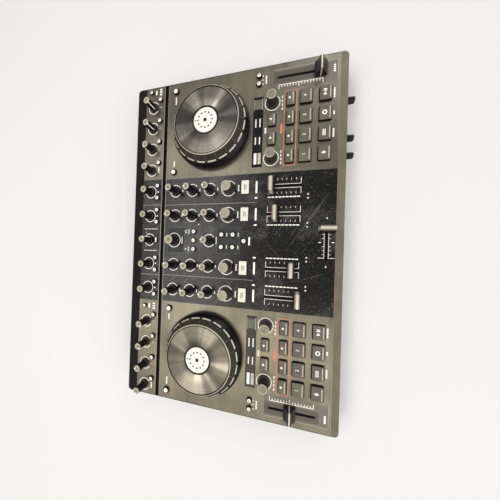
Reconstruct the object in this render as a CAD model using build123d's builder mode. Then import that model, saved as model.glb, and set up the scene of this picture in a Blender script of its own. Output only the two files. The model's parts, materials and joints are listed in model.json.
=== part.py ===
from build123d import *
import os

# Four-channel mixing controller with two decks, as its separate pieces, in millimetres.
# X runs to the right, Y to the back and Z up. The origin is at the bottom centre of the whole
# object, so the rubber feet stand on Z = 0.

# ---------------------------------------------------------------- driving dimensions
panel_height = 31.0        # table to the top of the faceplates
foot_height = 3.0
front_knob_reach = 12.0    # front face to the nose of a front knob
phono_reach = 9.0          # rear face to the end of a phono barrel
corner_radius = 6.0

case_wall = 2.5
case_floor = 2.5
skin_thickness = 2.0       # deck of the top case, under the faceplates
plate_thickness = 1.2
parting_height = 22.0      # joint between the bottom and the top case
top_edge_round = 1.0

front_bezel = 9.4
rear_rim = 16.6
rear_strip_depth = 35.0
divider_depth = 7.5
divider_groove_width = 4.4
divider_groove_depth = 1.6
side_rim = 1.2
mixer_width = 195.0
key_inset = 20.35          # edge of the mixer to the first column of keys
tempo_gap = 32.75          # last column of keys to the tempo fader
tempo_inset = 20.2         # tempo fader to the side of the body
rear_margin = 13.6         # last row to the rear edge of the main faceplates
plate_gap = 0.2            # line between two faceplates, and round each plate

# clearances
hole_clearance = 0.3       # key or button to the edge of its opening
shaft_clearance = 0.1      # turning shaft in its bore
shaft_hole_gap = 0.5       # turning shaft in the faceplate
knob_gap = 0.6             # underside of a knob or fader cap to the faceplate
seat_gap = 0.3             # resting piece above its stop
screw_clearance = 0.05
screw_hole_clearance = 0.2
screw_head_clearance = 0.4
socket_clearance = 0.3
module_clearance = 0.5     # display module to the edge of its opening
round_margin = 0.01        # keeps a round slot end from closing on itself

# boards and what stands on them
board_thickness = 1.6
board_top = 20.0
board_margin = 1.0         # board edge to the case wall
board_split = 1.0          # gap between two boards
control_size = 9.6         # square body of a potentiometer or encoder
control_height = 7.0
control_floor = 1.2
switch_size = 6.0
switch_height = 3.5
slider_body_width = 9.0
slider_body_height = 7.0
slider_end = 6.5           # body past each end of the lever's slot
slider_slot_width = 2.0
slider_slot_depth = 4.0
display_module_height = 9.4
display_ledge = 2.0
post_radius = 3.0
post_inset = 12.0          # posts to the edge of the mixer
post_strip_inset = 20.0
post_mixer_inset = 8.0
post_side_inset = 30.0     # posts to the side of the body
post_rows = (30.0, 150.0)  # posts beside the mixer
post_side_row = 120.0
post_mixer_rear_row = 200.0
post_strip_row = 10.0
main_board_depth = 60.0
main_board_gap = 3.5       # main board to the screw bosses beside it
main_board_height = 6.0    # table to its underside
main_pad_inset = (14.4, 7.0)

# rows, measured to the back from the front edge of the main faceplates
crossfader_row = 12.1
transport_row = 18.2
sample_row = 43.0
tempo_fader_row = 51.0
hot_cue_row = 63.4
channel_fader_row = 68.8
loop_row = 88.6
display_row = 108.65
tempo_button_row = 108.7
cue_row = 124.0
centre_low_row = 140.8
filter_row = 149.6
centre_high_row = 158.3
tone_low_row = 179.4
tone_pitch = 29.55
jog_row = 180.5
blend_row = 178.9
back_button_row = 203.8
browse_row = 238.5
corner_button_row = 242.9

# rows on the rear strip, from its front edge
assign_row = 7.2
gain_row = 20.2
mode_row = 24.0

# columns, measured from the centre line
channel_inner = 38.5
channel_pitch = 38.9
centre_button_pitch = 18.4
back_button_pitch = 13.4
assign_offset = 9.7
key_pitch = 26.4
loop_inner_shift = 0.55    # loop knobs to their columns of keys
loop_outer_shift = 1.65
jog_shift = 10.75          # middle of the keys to the middle of the jog wheel
display_shift = 1.2        # middle of the keys to the middle of the window
corner_button_inset = 10.1  # inner corner button to the edge of the mixer
corner_button_side = 14.2  # outer corner button to the side of the body
tempo_button_pitch = 11.9
tempo_button_shift = 0.45
effect_left_inset = 15.3   # first effect knob to the side of the body
effect_right_inset = 15.8  # first effect knob to the edge of the mixer
effect_pitch = 34.2
effect_button_offset = 11.5
mode_button_offset = 25.0
front_knob_insets = (130.0, 106.0, 54.0)  # front knobs to the right side
front_control_height = 16.0

# keys and buttons
key_proud = 2.8
key_travel = 0.8
key_corner = 1.2
key_edge = 0.5
key_lip = 0.9
key_lip_thickness = 1.2
plunger_radius = 2.0
transport_key = (19.4, 15.6)
sample_key = (19.4, 16.0)
hot_cue_key = (19.4, 10.8)
loop_key = (17.8, 10.7)
cue_key = (19.8, 11.6)
lit_button_radius = 3.7
corner_button_radius = 4.4
tempo_button_radius = 3.4
mode_button_radius = 3.0

# knobs: foot radius, top radius, height above the faceplate
tone_knob = (6.9, 4.7, 17.8)
gain_knob = (6.9, 4.7, 15.6)
filter_knob = (9.4, 7.0, 13.1)
loop_knob = (8.9, 6.4, 14.2)
browse_knob_form = (8.6, 6.5, 13.5)
knob_skirt = 1.6
knob_top_edge = 0.5
pointer_width = 0.9
pointer_depth = 0.5
# knobs with end stops that rest turned to the left of their middle, in degrees
knob_rests = {
    "left_effect_knob_1": 75,
    "left_effect_knob_3": 135,
    "left_effect_knob_4": 135,
    "right_effect_knob_1": -135,
    "right_effect_knob_2": 60,
    "right_effect_knob_3": 138,
    "right_effect_knob_4": 135,
    "main_level_knob": -130,
    "low_knob_2": -21,
    "low_knob_3": 38,
    "low_knob_4": -10,
    "mid_knob_1": -55,
    "mid_knob_2": -65,
    "mid_knob_3": 45,
    "high_knob_1": -7,
    "high_knob_2": -37,
    "high_knob_3": 20,
    "high_knob_4": 57,
    "filter_knob_1": -9,
    "filter_knob_2": 17,
    "filter_knob_3": 6,
    "filter_knob_4": 32,
}
shaft_radius = 3.0
shaft_in_knob = 7.0
front_knob_radius = 4.25
front_knob_edge = 0.8
front_shaft_in_knob = 6.0

# faders
channel_travel = 45.0
tempo_travel = 60.0
slot_width = 2.4
slot_end_gap = 0.3
lever_thickness = 1.2
lever_length = 2.0
lever_in_cap = 5.0
cap_base = (22.0, 11.0)
cap_top = (19.3, 6.5)
cap_height = 13.5
cap_foot = 3.0
tempo_cap_base = (19.5, 15.5)
tempo_cap_top = (17.5, 5.0)
tempo_cap_height = 11.5
cap_groove = 0.8
cap_corner = 1.0
channel_fader_rests = (-21.2, -11.8, 11.4, 17.6)
crossfader_rest = 17.6
left_tempo_rest = 2.0
right_tempo_rest = -25.5

# jog wheels
jog_radius = 60.5
jog_height = 20.0          # faceplate to the top rim
jog_gap = 0.8
jog_skirt_height = 7.0
jog_top_radius = 48.5
jog_rim = 1.3
jog_wall = 3.0
jog_web = 2.5
jog_disc_thickness = 1.5
jog_disc_drop = 0.3
jog_label_radius = 18.4
jog_hub_radius = 12.0
jog_hub_bottom = 11.0      # height above the table
jog_hub_gap = 1.0
spindle_radius = 4.0
spindle_flange_radius = 12.0
spindle_flange_height = 2.5
spindle_shoulder_radius = 7.0
sensor_disc_radius = 15.0
sensor_disc_thickness = 1.2
sensor_gap = 0.6
sensor_hub_gap = 1.2
sensor_disc_rise = 1.0     # hub's underside to the slotted disc
sensor_jaw = 2.0
sensor_hole_radius = 18.0  # hole in the board
sensor_width = 8.0
sensor_length = 12.0

# windows, feet, screws and sockets
window_size = (100.5, 14.3)
window_proud = 0.3
foot_radius = 10.0
foot_edge = 0.6
foot_inset = 34.0
screw_inset = 6.5
screw_radius = 1.5
screw_head_radius = 2.8
screw_head_height = 2.0
screw_recess = 4.0
boss_radius = 4.6
screw_top = 26.0
jack_bore_radius = 3.2
mini_jack_bore_radius = 1.8
jack_collar_radius = 4.6
jack_collar_reach = 1.0
jack_body = (10.6, 26.0)   # square section, depth behind the wall
phono_radius = 4.2
phono_seat_radius = 5.2    # round base that fills the wall's hole
phono_bore_radius = 1.6
phono_body = (10.0, 12.0)
usb_nose = (11.6, 10.4)
usb_cavity = (8.6, 7.9)
usb_depth = 16.0
usb_cavity_depth = 12.0
phono_columns = (-74.0, -60.0, -32.0, -18.0)
rear_jack_columns = (16.0, 38.0)
usb_column = 70.0
headphone_insets = (54.0, 78.0)  # headphone sockets to the left side

# ---------------------------------------------------------------- worked out from the above
half_mixer = mixer_width / 2
key_columns = [half_mixer + key_inset + i * key_pitch for i in range(4)]
key_middle = (key_columns[0] + key_columns[3]) / 2
tempo_column = key_columns[3] + tempo_gap
half_width = tempo_column + tempo_inset
body_width = 2 * half_width
main_depth = corner_button_row + rear_margin
body_depth = front_bezel + main_depth + divider_depth + rear_strip_depth + rear_rim
overall_depth = front_knob_reach + body_depth + phono_reach
body_front = front_knob_reach - overall_depth / 2
body_rear = body_front + body_depth
plates_front = body_front + front_bezel
plates_rear = plates_front + main_depth
strip_front = plates_rear + divider_depth
plate_bottom = panel_height - plate_thickness
skin_bottom = plate_bottom - skin_thickness
case_bottom = foot_height
floor_top = case_bottom + case_floor
board_bottom = board_top - board_thickness
socket_height = main_board_height + board_thickness + jack_body[0] / 2
jog_column = key_middle + jog_shift
display_column = key_middle - display_shift
corner_columns = (half_mixer + corner_button_inset, half_width - corner_button_side)
tempo_button_middle = tempo_column + tempo_button_shift
tempo_button_columns = [tempo_button_middle + end * tempo_button_pitch / 2 for end in (-1, 1)]
effect_left_start = effect_left_inset - half_width
effect_right_start = half_mixer + effect_right_inset
front_knob_columns = [half_width - inset for inset in front_knob_insets]
headphone_columns = [inset - half_width for inset in headphone_insets]
main_board_width = mixer_width - 2 * (boss_radius + main_board_gap)
module_size = [side - 2 * (display_ledge + module_clearance) for side in window_size]
channel_outer = channel_inner + channel_pitch
channel_columns = [-channel_outer, -channel_inner, channel_inner, channel_outer]
body_middle = (body_front + body_rear) / 2
key_lip_top = skin_bottom - 0.4
key_lip_bottom = key_lip_top - key_lip_thickness
plunger_bottom = board_top + switch_height + key_travel + seat_gap
jog_bottom = panel_height + jog_gap
jog_top = panel_height + jog_height
jog_disc_bottom = jog_top - jog_disc_drop - jog_disc_thickness
socket_wall_front = body_front + case_wall
socket_wall_rear = body_rear - case_wall


def main_row(distance):
    """Y of a row on the main faceplates."""
    return plates_front + distance


def strip_row(distance):
    """Y of a row on the rear strip."""
    return strip_front + distance


# ---------------------------------------------------------------- where the controls are
# knobs with end stops and endless knobs: name, x, y, form
stopped_knobs = []
endless_knobs = []
for i in range(4):
    for name, start in (("left", effect_left_start), ("right", effect_right_start)):
        x = start + i * effect_pitch
        stopped_knobs.append((f"{name}_effect_knob_{i + 1}", x, strip_row(gain_row), gain_knob))
for i, x in enumerate(channel_columns):
    endless_knobs.append((f"gain_knob_{i + 1}", x, strip_row(gain_row), gain_knob))
    for step, name in enumerate(("low", "mid", "high")):
        y = main_row(tone_low_row + step * tone_pitch)
        stopped_knobs.append((f"{name}_knob_{i + 1}", x, y, tone_knob))
    stopped_knobs.append((f"filter_knob_{i + 1}", x, main_row(filter_row), filter_knob))
stopped_knobs.append(("main_level_knob", 0.0, strip_row(gain_row), gain_knob))
stopped_knobs.append(("blend_knob", 0.0, main_row(blend_row), tone_knob))
endless_knobs.append(("browse_knob", 0.0, main_row(browse_row), browse_knob_form))
for side, name in ((-1, "left"), (1, "right")):
    outer = side * (key_columns[3] - loop_outer_shift)
    inner = side * (key_columns[0] - loop_inner_shift)
    endless_knobs.append((f"{name}_loop_move_knob", outer, main_row(loop_row), loop_knob))
    endless_knobs.append((f"{name}_loop_size_knob", inner, main_row(loop_row), loop_knob))
knob_places = [(x, y) for name, x, y, form in stopped_knobs + endless_knobs]

# keys and round buttons of each group: rectangular (x, y, size), round (x, y, radius)
deck_keys = {}
deck_buttons = {}
for side, name, effect_start in ((-1, "left", effect_left_start), (1, "right", effect_right_start)):
    deck_keys[name] = []
    for row, size in ((transport_row, transport_key), (sample_row, sample_key), (hot_cue_row, hot_cue_key)):
        for x in key_columns:
            deck_keys[name].append((side * x, main_row(row), size))
    for x in key_columns[1:3]:
        deck_keys[name].append((side * x, main_row(loop_row), loop_key))
    deck_buttons[name] = []
    for x in corner_columns:
        deck_buttons[name].append((side * x, main_row(corner_button_row), corner_button_radius))
    for x in tempo_button_columns:
        deck_buttons[name].append((side * x, main_row(tempo_button_row), tempo_button_radius))
    for i in range(4):
        x = effect_start + i * effect_pitch + effect_button_offset
        deck_buttons[name].append((x, strip_row(assign_row), lit_button_radius))
    x = effect_start + 3 * effect_pitch + mode_button_offset
    deck_buttons[name].append((x, strip_row(mode_row), mode_button_radius))

mixer_keys = [(x, main_row(cue_row), cue_key) for x in channel_columns]
mixer_buttons = []
for x in channel_columns:
    for side in (-1, 1):
        mixer_buttons.append((x + side * assign_offset, strip_row(assign_row), lit_button_radius))
for i in (-1, 0, 1):
    mixer_buttons.append((i * back_button_pitch, main_row(back_button_row), lit_button_radius))
for side in (-1, 1):
    for row in (centre_low_row, centre_high_row):
        mixer_buttons.append((side * centre_button_pitch / 2, main_row(row), lit_button_radius))
mixer_buttons.append((0.0, main_row(cue_row), lit_button_radius))

key_groups = (
    ("left_deck_buttons", deck_keys["left"], deck_buttons["left"]),
    ("right_deck_buttons", deck_keys["right"], deck_buttons["right"]),
    ("mixer_buttons", mixer_keys, mixer_buttons),
)

# faders: name, middle of travel, travel, rest, direction, cap base, cap top, cap height
faders = []
for i, x in enumerate(channel_columns):
    faders.append((f"channel_fader_cap_{i + 1}", x, main_row(channel_fader_row), channel_travel,
                   channel_fader_rests[i], "y", cap_base, cap_top, cap_height))
faders.append(("crossfader_cap", 0.0, main_row(crossfader_row), channel_travel,
               crossfader_rest, "x", cap_base, cap_top, cap_height))
for side, name, rest in ((-1, "left", left_tempo_rest), (1, "right", right_tempo_rest)):
    faders.append((f"{name}_tempo_fader_cap", side * tempo_column, main_row(tempo_fader_row), tempo_travel,
                   rest, "y", tempo_cap_base, tempo_cap_top, tempo_cap_height))

jog_places = [(-jog_column, main_row(jog_row)), (jog_column, main_row(jog_row))]
window_places = [(-display_column, main_row(display_row)), (display_column, main_row(display_row))]

screw_places = []
for x in (-half_width + screw_inset, -half_mixer, half_mixer, half_width - screw_inset):
    for y in (body_front + screw_inset, body_rear - screw_inset):
        screw_places.append((x, y))
for side in (-1, 1):
    screw_places.append((side * (half_width - screw_inset), main_row(jog_row)))

post_places = []
for side in (-1, 1):
    for row in post_rows:
        post_places.append((side * (half_mixer + post_inset), main_row(row)))
    post_places.append((side * (half_width - post_side_inset), main_row(post_side_row)))
    post_places.append((side * (half_width - post_side_inset), strip_row(post_strip_row)))
    post_places.append((side * (half_mixer + post_strip_inset), strip_row(post_strip_row)))
    post_places.append((side * (half_mixer - post_mixer_inset), main_row(post_rows[0])))
    post_places.append((side * (half_mixer - post_mixer_inset), main_row(post_mixer_rear_row)))

foot_places = []
for x in (foot_inset - half_width, half_width - foot_inset):
    for y in (body_front + foot_inset, body_rear - foot_inset):
        foot_places.append((x, y))


# ---------------------------------------------------------------- shared shapes
def upright_plane(x, y):
    """Plane through (x, y) whose own x is the radius and whose own y is the height."""
    return Plane(origin=(x, y, 0), x_dir=(1, 0, 0), z_dir=(0, -1, 0))


def turned(profile, x, y):
    """Solid turned about the upright line through (x, y) from (radius, height) points."""
    with BuildPart() as solid:
        with BuildSketch(upright_plane(x, y)):
            with BuildLine():
                Polyline(*profile, close=True)
            make_face()
        revolve(axis=Axis((x, y, 0), (0, 0, 1)))
    return solid.part


def slot_length(travel):
    """Length of the slot that a fader's lever runs in."""
    return travel + lever_length + 2 * slot_end_gap


def turned_size(size, direction):
    """Size across X and Y of a cap that is drawn across its travel."""
    return size if direction == "y" else (size[1], size[0])


def draw_openings(x_range, y_range):
    """Draw the opening of each control that lies in the region, into the sketch that is open."""
    circles = {}
    rectangles = {}
    circles[shaft_radius + shaft_hole_gap] = list(knob_places)
    for name, keys, buttons in key_groups:
        for x, y, size in keys:
            width, depth = (side + 2 * hole_clearance for side in size)
            opening = (width, depth, key_corner + hole_clearance)
            rectangles.setdefault(opening, []).append((x, y))
        for x, y, radius in buttons:
            circles.setdefault(radius + hole_clearance, []).append((x, y))
    for fader in faders:
        length = slot_length(fader[3])
        size = turned_size((slot_width, length), fader[5])
        opening = (size[0], size[1], slot_width / 2 - round_margin)
        rectangles.setdefault(opening, []).append((fader[1], fader[2]))
    for x, y in jog_places:
        circles.setdefault(jog_hub_radius + jog_hub_gap, []).append((x, y))

    def inside(point):
        return x_range[0] < point[0] < x_range[1] and y_range[0] < point[1] < y_range[1]

    for radius, points in circles.items():
        points = [point for point in points if inside(point)]
        if points:
            with Locations(*points):
                Circle(radius)
    for (width, depth, corner), points in rectangles.items():
        points = [point for point in points if inside(point)]
        if points:
            with Locations(*points):
                RectangleRounded(width, depth, corner)


def faceplate(x_range, y_range, windows):
    """One faceplate over the region, with its openings, and with a window's opening where named."""
    width = x_range[1] - x_range[0] - 2 * plate_gap
    depth = y_range[1] - y_range[0] - 2 * plate_gap
    middle = ((x_range[0] + x_range[1]) / 2, (y_range[0] + y_range[1]) / 2)
    with BuildPart() as plate:
        with BuildSketch(Plane.XY.offset(plate_bottom)):
            with Locations(middle):
                Rectangle(width, depth)
        extrude(amount=plate_thickness)
        with BuildSketch(Plane.XY.offset(plate_bottom)):
            draw_openings(x_range, y_range)
            for window in windows:
                with Locations(window):
                    Rectangle(window_size[0] + 2 * plate_gap, window_size[1] + 2 * plate_gap)
        extrude(amount=plate_thickness, mode=Mode.SUBTRACT)
    return plate.part


def save_group(label, pieces):
    """Write separate solids that share one node."""
    group = Compound(label=label, children=pieces)
    export_step(group, f"parts/{label}.step")


def rear_plane(x, y, z):
    """Plane at (x, y, z) that faces the back."""
    return Plane(origin=(x, y, z), x_dir=(-1, 0, 0), z_dir=(0, 1, 0))


def front_plane(x, y, z):
    """Plane at (x, y, z) that faces the front."""
    return Plane(origin=(x, y, z), x_dir=(1, 0, 0), z_dir=(0, -1, 0))


os.makedirs("parts", exist_ok=True)

# ---------------------------------------------------------------- bottom case
inner_width = body_width - 2 * case_wall
inner_depth = body_depth - 2 * case_wall
inner_corner = corner_radius - case_wall
with BuildPart() as bottom_case:
    with BuildSketch(Plane.XY.offset(case_bottom)):
        with Locations((0, body_middle)):
            RectangleRounded(body_width, body_depth, corner_radius)
    extrude(amount=parting_height - case_bottom)
    fillet(bottom_case.faces().sort_by(Axis.Z)[0].edges(), top_edge_round)
    with BuildSketch(Plane.XY.offset(floor_top)):
        with Locations((0, body_middle)):
            RectangleRounded(inner_width, inner_depth, inner_corner)
    extrude(amount=parting_height - floor_top, mode=Mode.SUBTRACT)
    with BuildSketch(Plane.XY.offset(floor_top)):
        with Locations(*screw_places):
            Circle(boss_radius)
    extrude(amount=parting_height - floor_top)
    with BuildSketch(Plane.XY.offset(floor_top)):
        with Locations(*post_places):
            Circle(post_radius)
    extrude(amount=board_bottom - floor_top)
    with BuildSketch(Plane.XY.offset(case_bottom)):
        with Locations(*screw_places):
            Circle(screw_head_radius + screw_head_clearance)
    extrude(amount=screw_recess, mode=Mode.SUBTRACT)
    with BuildSketch(Plane.XY.offset(case_bottom)):
        with Locations(*screw_places):
            Circle(screw_radius + screw_hole_clearance)
    extrude(amount=parting_height - case_bottom, mode=Mode.SUBTRACT)
    for x in front_knob_columns:
        with BuildSketch(front_plane(x, socket_wall_front, front_control_height)):
            Circle(shaft_radius + shaft_hole_gap)
        extrude(amount=case_wall, mode=Mode.SUBTRACT)
    for x in headphone_columns:
        with BuildSketch(front_plane(x, socket_wall_front, socket_height)):
            Circle(jack_collar_radius + socket_clearance)
        extrude(amount=case_wall, mode=Mode.SUBTRACT)
    for x in rear_jack_columns:
        with BuildSketch(rear_plane(x, socket_wall_rear, socket_height)):
            Circle(jack_collar_radius + socket_clearance)
        extrude(amount=case_wall, mode=Mode.SUBTRACT)
    for x in phono_columns:
        with BuildSketch(rear_plane(x, socket_wall_rear, socket_height)):
            Circle(phono_seat_radius + socket_clearance)
        extrude(amount=case_wall, mode=Mode.SUBTRACT)
    with BuildSketch(rear_plane(usb_column, socket_wall_rear, socket_height)):
        Rectangle(usb_nose[0] + 2 * socket_clearance, usb_nose[1] + 2 * socket_clearance)
    extrude(amount=case_wall, mode=Mode.SUBTRACT)
bottom_case.part.label = "bottom_case"
export_step(bottom_case.part, "parts/bottom_case.step")

# ---------------------------------------------------------------- top case
with BuildPart() as top_case:
    with BuildSketch(Plane.XY.offset(parting_height)):
        with Locations((0, body_middle)):
            RectangleRounded(body_width, body_depth, corner_radius)
    extrude(amount=panel_height - parting_height)
    fillet(top_case.faces().sort_by(Axis.Z)[-1].edges(), top_edge_round)
    with BuildSketch(Plane.XY.offset(parting_height)):
        with Locations((0, body_middle)):
            RectangleRounded(inner_width, inner_depth, inner_corner)
    extrude(amount=skin_bottom - parting_height, mode=Mode.SUBTRACT)
    with BuildSketch(Plane.XY.offset(plate_bottom)):
        with Locations((0, plates_front + main_depth / 2)):
            Rectangle(body_width - 2 * side_rim, main_depth)
        with Locations((0, strip_front + rear_strip_depth / 2)):
            Rectangle(body_width - 2 * side_rim, rear_strip_depth)
    extrude(amount=plate_thickness, mode=Mode.SUBTRACT)
    with BuildSketch(Plane.XY.offset(panel_height - divider_groove_depth)):
        with Locations((0, plates_rear + divider_depth / 2)):
            Rectangle(body_width - 2 * side_rim, divider_groove_width)
    extrude(amount=divider_groove_depth, mode=Mode.SUBTRACT)
    with BuildSketch(Plane.XY.offset(parting_height + seat_gap)):
        with Locations(*screw_places):
            Circle(boss_radius)
    extrude(amount=skin_bottom - parting_height - seat_gap)
    with BuildSketch(Plane.XY.offset(parting_height + seat_gap)):
        with Locations(*screw_places):
            Circle(screw_radius + screw_clearance)
    extrude(amount=screw_top - parting_height, mode=Mode.SUBTRACT)
    with BuildSketch(Plane.XY.offset(skin_bottom)):
        draw_openings((-half_width, half_width), (body_front, body_rear))
        with Locations(*window_places):
            Rectangle(window_size[0] - 2 * display_ledge, window_size[1] - 2 * display_ledge)
    extrude(amount=skin_thickness, mode=Mode.SUBTRACT)
top_case.part.label = "top_case"
export_step(top_case.part, "parts/top_case.step")

# ---------------------------------------------------------------- faceplates
plate_edge = half_width - side_rim
main_range = (plates_front, plates_rear)
strip_range = (strip_front, strip_front + rear_strip_depth)
deck_plates = []
for side, window in zip((-1, 1), window_places):
    x_range = (-plate_edge, -half_mixer) if side < 0 else (half_mixer, plate_edge)
    deck_plates.append(faceplate(x_range, main_range, [window]))
    deck_plates.append(faceplate(x_range, strip_range, []))
save_group("deck_faceplates", deck_plates)

mixer_range = (-half_mixer, half_mixer)
mixer_plates = [faceplate(mixer_range, main_range, []), faceplate(mixer_range, strip_range, [])]
save_group("mixer_faceplates", mixer_plates)

with BuildPart() as display_windows:
    with BuildSketch(Plane.XY.offset(plate_bottom)):
        with Locations(*window_places):
            Rectangle(window_size[0], window_size[1])
    extrude(amount=plate_thickness + window_proud)
    chamfer(display_windows.faces().group_by(Axis.Z)[-1].edges(), window_proud / 2)
display_windows.part.label = "display_windows"
export_step(display_windows.part, "parts/display_windows.step")

# ---------------------------------------------------------------- boards and what stands on them
board_front = body_front + case_wall + control_size + 2 * board_margin
board_rear = body_rear - case_wall - board_margin
board_side = half_width - case_wall - board_margin
board_outer = half_mixer + board_split / 2
board_inner = half_mixer - board_split / 2
board_spans = ((-board_side, -board_outer), (-board_inner, board_inner), (board_outer, board_side))
with BuildPart() as control_boards:
    with BuildSketch(Plane.XY.offset(board_bottom)):
        for left, right in board_spans:
            with Locations(((left + right) / 2, (board_front + board_rear) / 2)):
                Rectangle(right - left, board_rear - board_front)
        with Locations(*screw_places):
            Circle(boss_radius + board_margin, mode=Mode.SUBTRACT)
        with Locations(*jog_places):
            Circle(sensor_hole_radius, mode=Mode.SUBTRACT)
    extrude(amount=board_thickness)

with BuildPart() as main_board:
    with BuildSketch(Plane.XY.offset(main_board_height)):
        with Locations((0, body_rear - case_wall - board_margin - main_board_depth / 2)):
            Rectangle(main_board_width, main_board_depth)
    extrude(amount=board_thickness)

pad_pitch_x = main_board_width - 2 * main_pad_inset[0]
pad_pitch_y = main_board_depth - 2 * main_pad_inset[1]
with BuildPart() as main_board_pads:
    with BuildSketch(Plane.XY.offset(floor_top)):
        with Locations((0, body_rear - case_wall - board_margin - main_board_depth / 2)):
            with GridLocations(pad_pitch_x, pad_pitch_y, 2, 2):
                Circle(post_radius)
    extrude(amount=main_board_height - floor_top)

with BuildPart() as rotary_controls:
    with BuildSketch(Plane.XY.offset(board_top)):
        with Locations(*knob_places):
            Rectangle(control_size, control_size)
    extrude(amount=control_height)
    with BuildSketch(Plane.XY.offset(board_top + control_floor)):
        with Locations(*knob_places):
            Circle(shaft_radius + shaft_clearance)
    extrude(amount=control_height - control_floor, mode=Mode.SUBTRACT)

with BuildPart() as switches:
    switch_places = []
    for name, keys, buttons in key_groups:
        switch_places += [(x, y) for x, y, size in keys]
        switch_places += [(x, y) for x, y, radius in buttons]
    with BuildSketch(Plane.XY.offset(board_top)):
        with Locations(*switch_places):
            Rectangle(switch_size, switch_size)
    extrude(amount=switch_height)

with BuildPart() as slide_controls:
    with BuildSketch(Plane.XY.offset(board_top)):
        for fader in faders:
            size = turned_size((slider_body_width, slot_length(fader[3]) + 2 * slider_end), fader[5])
            with Locations((fader[1], fader[2])):
                Rectangle(size[0], size[1])
    extrude(amount=slider_body_height)
    with BuildSketch(Plane.XY.offset(board_top + slider_body_height - slider_slot_depth)):
        for fader in faders:
            size = turned_size((slider_slot_width, slot_length(fader[3])), fader[5])
            with Locations((fader[1], fader[2])):
                Rectangle(size[0], size[1])
    extrude(amount=slider_slot_depth, mode=Mode.SUBTRACT)

with BuildPart() as display_modules:
    with BuildSketch(Plane.XY.offset(board_top)):
        with Locations(*window_places):
            Rectangle(module_size[0], module_size[1])
    extrude(amount=display_module_height)

sensor_near = jog_hub_radius + sensor_hub_gap
disc_low = jog_hub_bottom + sensor_disc_rise
sensor_low = disc_low - sensor_gap - sensor_jaw
with BuildPart() as jog_sensors:
    with BuildSketch(Plane.XY.offset(sensor_low)):
        with Locations(*[(x + sensor_near + sensor_length / 2, y) for x, y in jog_places]):
            Rectangle(sensor_length, sensor_width)
    extrude(amount=board_bottom - sensor_low)
    with BuildSketch(Plane.XY.offset(disc_low - sensor_gap)):
        with Locations(*[(x, y) for x, y in jog_places]):
            Circle(sensor_disc_radius + 2 * sensor_gap)
    extrude(amount=sensor_disc_thickness + 2 * sensor_gap, mode=Mode.SUBTRACT)

front_controls = []
for x in front_knob_columns:
    with BuildPart() as front_control:
        with BuildSketch(front_plane(x, socket_wall_front + control_size, front_control_height)):
            Rectangle(control_size, control_size)
        extrude(amount=control_size)
        control_back = socket_wall_front + control_size - control_floor
        with BuildSketch(front_plane(x, control_back, front_control_height)):
            Circle(shaft_radius + shaft_clearance)
        extrude(amount=control_size - control_floor, mode=Mode.SUBTRACT)
    front_controls.append(front_control.part)

board_pieces = [control_boards.part, main_board.part, main_board_pads.part, rotary_controls.part, switches.part]
board_pieces += [slide_controls.part, display_modules.part, jog_sensors.part]
save_group("control_boards", board_pieces + front_controls)

# ---------------------------------------------------------------- sockets
sockets = []
for x, bore in zip(headphone_columns, (jack_bore_radius, mini_jack_bore_radius)):
    with BuildPart() as front_socket:
        with BuildSketch(front_plane(x, socket_wall_front + jack_body[1], socket_height)):
            Rectangle(jack_body[0], jack_body[0])
        extrude(amount=jack_body[1])
        with BuildSketch(front_plane(x, socket_wall_front, socket_height)):
            Circle(jack_collar_radius)
        extrude(amount=case_wall + jack_collar_reach)
        with BuildSketch(front_plane(x, socket_wall_front + jack_body[1] - control_floor, socket_height)):
            Circle(bore)
        extrude(amount=jack_body[1] + case_wall + jack_collar_reach, mode=Mode.SUBTRACT)
    sockets.append(front_socket.part)
for x in rear_jack_columns:
    with BuildPart() as rear_socket:
        with BuildSketch(rear_plane(x, socket_wall_rear - jack_body[1], socket_height)):
            Rectangle(jack_body[0], jack_body[0])
        extrude(amount=jack_body[1])
        with BuildSketch(rear_plane(x, socket_wall_rear, socket_height)):
            Circle(jack_collar_radius)
        extrude(amount=case_wall + jack_collar_reach)
        with BuildSketch(rear_plane(x, socket_wall_rear - jack_body[1] + control_floor, socket_height)):
            Circle(jack_bore_radius)
        extrude(amount=jack_body[1] + case_wall + jack_collar_reach, mode=Mode.SUBTRACT)
    sockets.append(rear_socket.part)
for x in phono_columns:
    with BuildPart() as phono_socket:
        with BuildSketch(rear_plane(x, socket_wall_rear - phono_body[1], socket_height)):
            Rectangle(phono_body[0], phono_body[0])
        extrude(amount=phono_body[1])
        with BuildSketch(rear_plane(x, socket_wall_rear, socket_height)):
            Circle(phono_seat_radius)
        extrude(amount=case_wall)
        with BuildSketch(rear_plane(x, body_rear, socket_height)):
            Circle(phono_radius)
        extrude(amount=phono_reach)
        with BuildSketch(rear_plane(x, socket_wall_rear, socket_height)):
            Circle(phono_bore_radius)
        extrude(amount=case_wall + phono_reach, mode=Mode.SUBTRACT)
    sockets.append(phono_socket.part)
with BuildPart() as usb_socket:
    with BuildSketch(rear_plane(usb_column, socket_wall_rear + case_wall - usb_depth, socket_height)):
        Rectangle(usb_nose[0], usb_nose[1])
    extrude(amount=usb_depth)
    with BuildSketch(rear_plane(usb_column, socket_wall_rear + case_wall - usb_cavity_depth, socket_height)):
        Rectangle(usb_cavity[0], usb_cavity[1])
    extrude(amount=usb_cavity_depth, mode=Mode.SUBTRACT)
sockets.append(usb_socket.part)
save_group("sockets", sockets)

# ---------------------------------------------------------------- feet and screws
with BuildPart() as rubber_feet:
    with BuildSketch():
        with Locations(*foot_places):
            Circle(foot_radius)
    extrude(amount=foot_height)
    fillet(rubber_feet.faces().group_by(Axis.Z)[0].edges(), foot_edge)
rubber_feet.part.label = "rubber_feet"
export_step(rubber_feet.part, "parts/rubber_feet.step")

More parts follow.
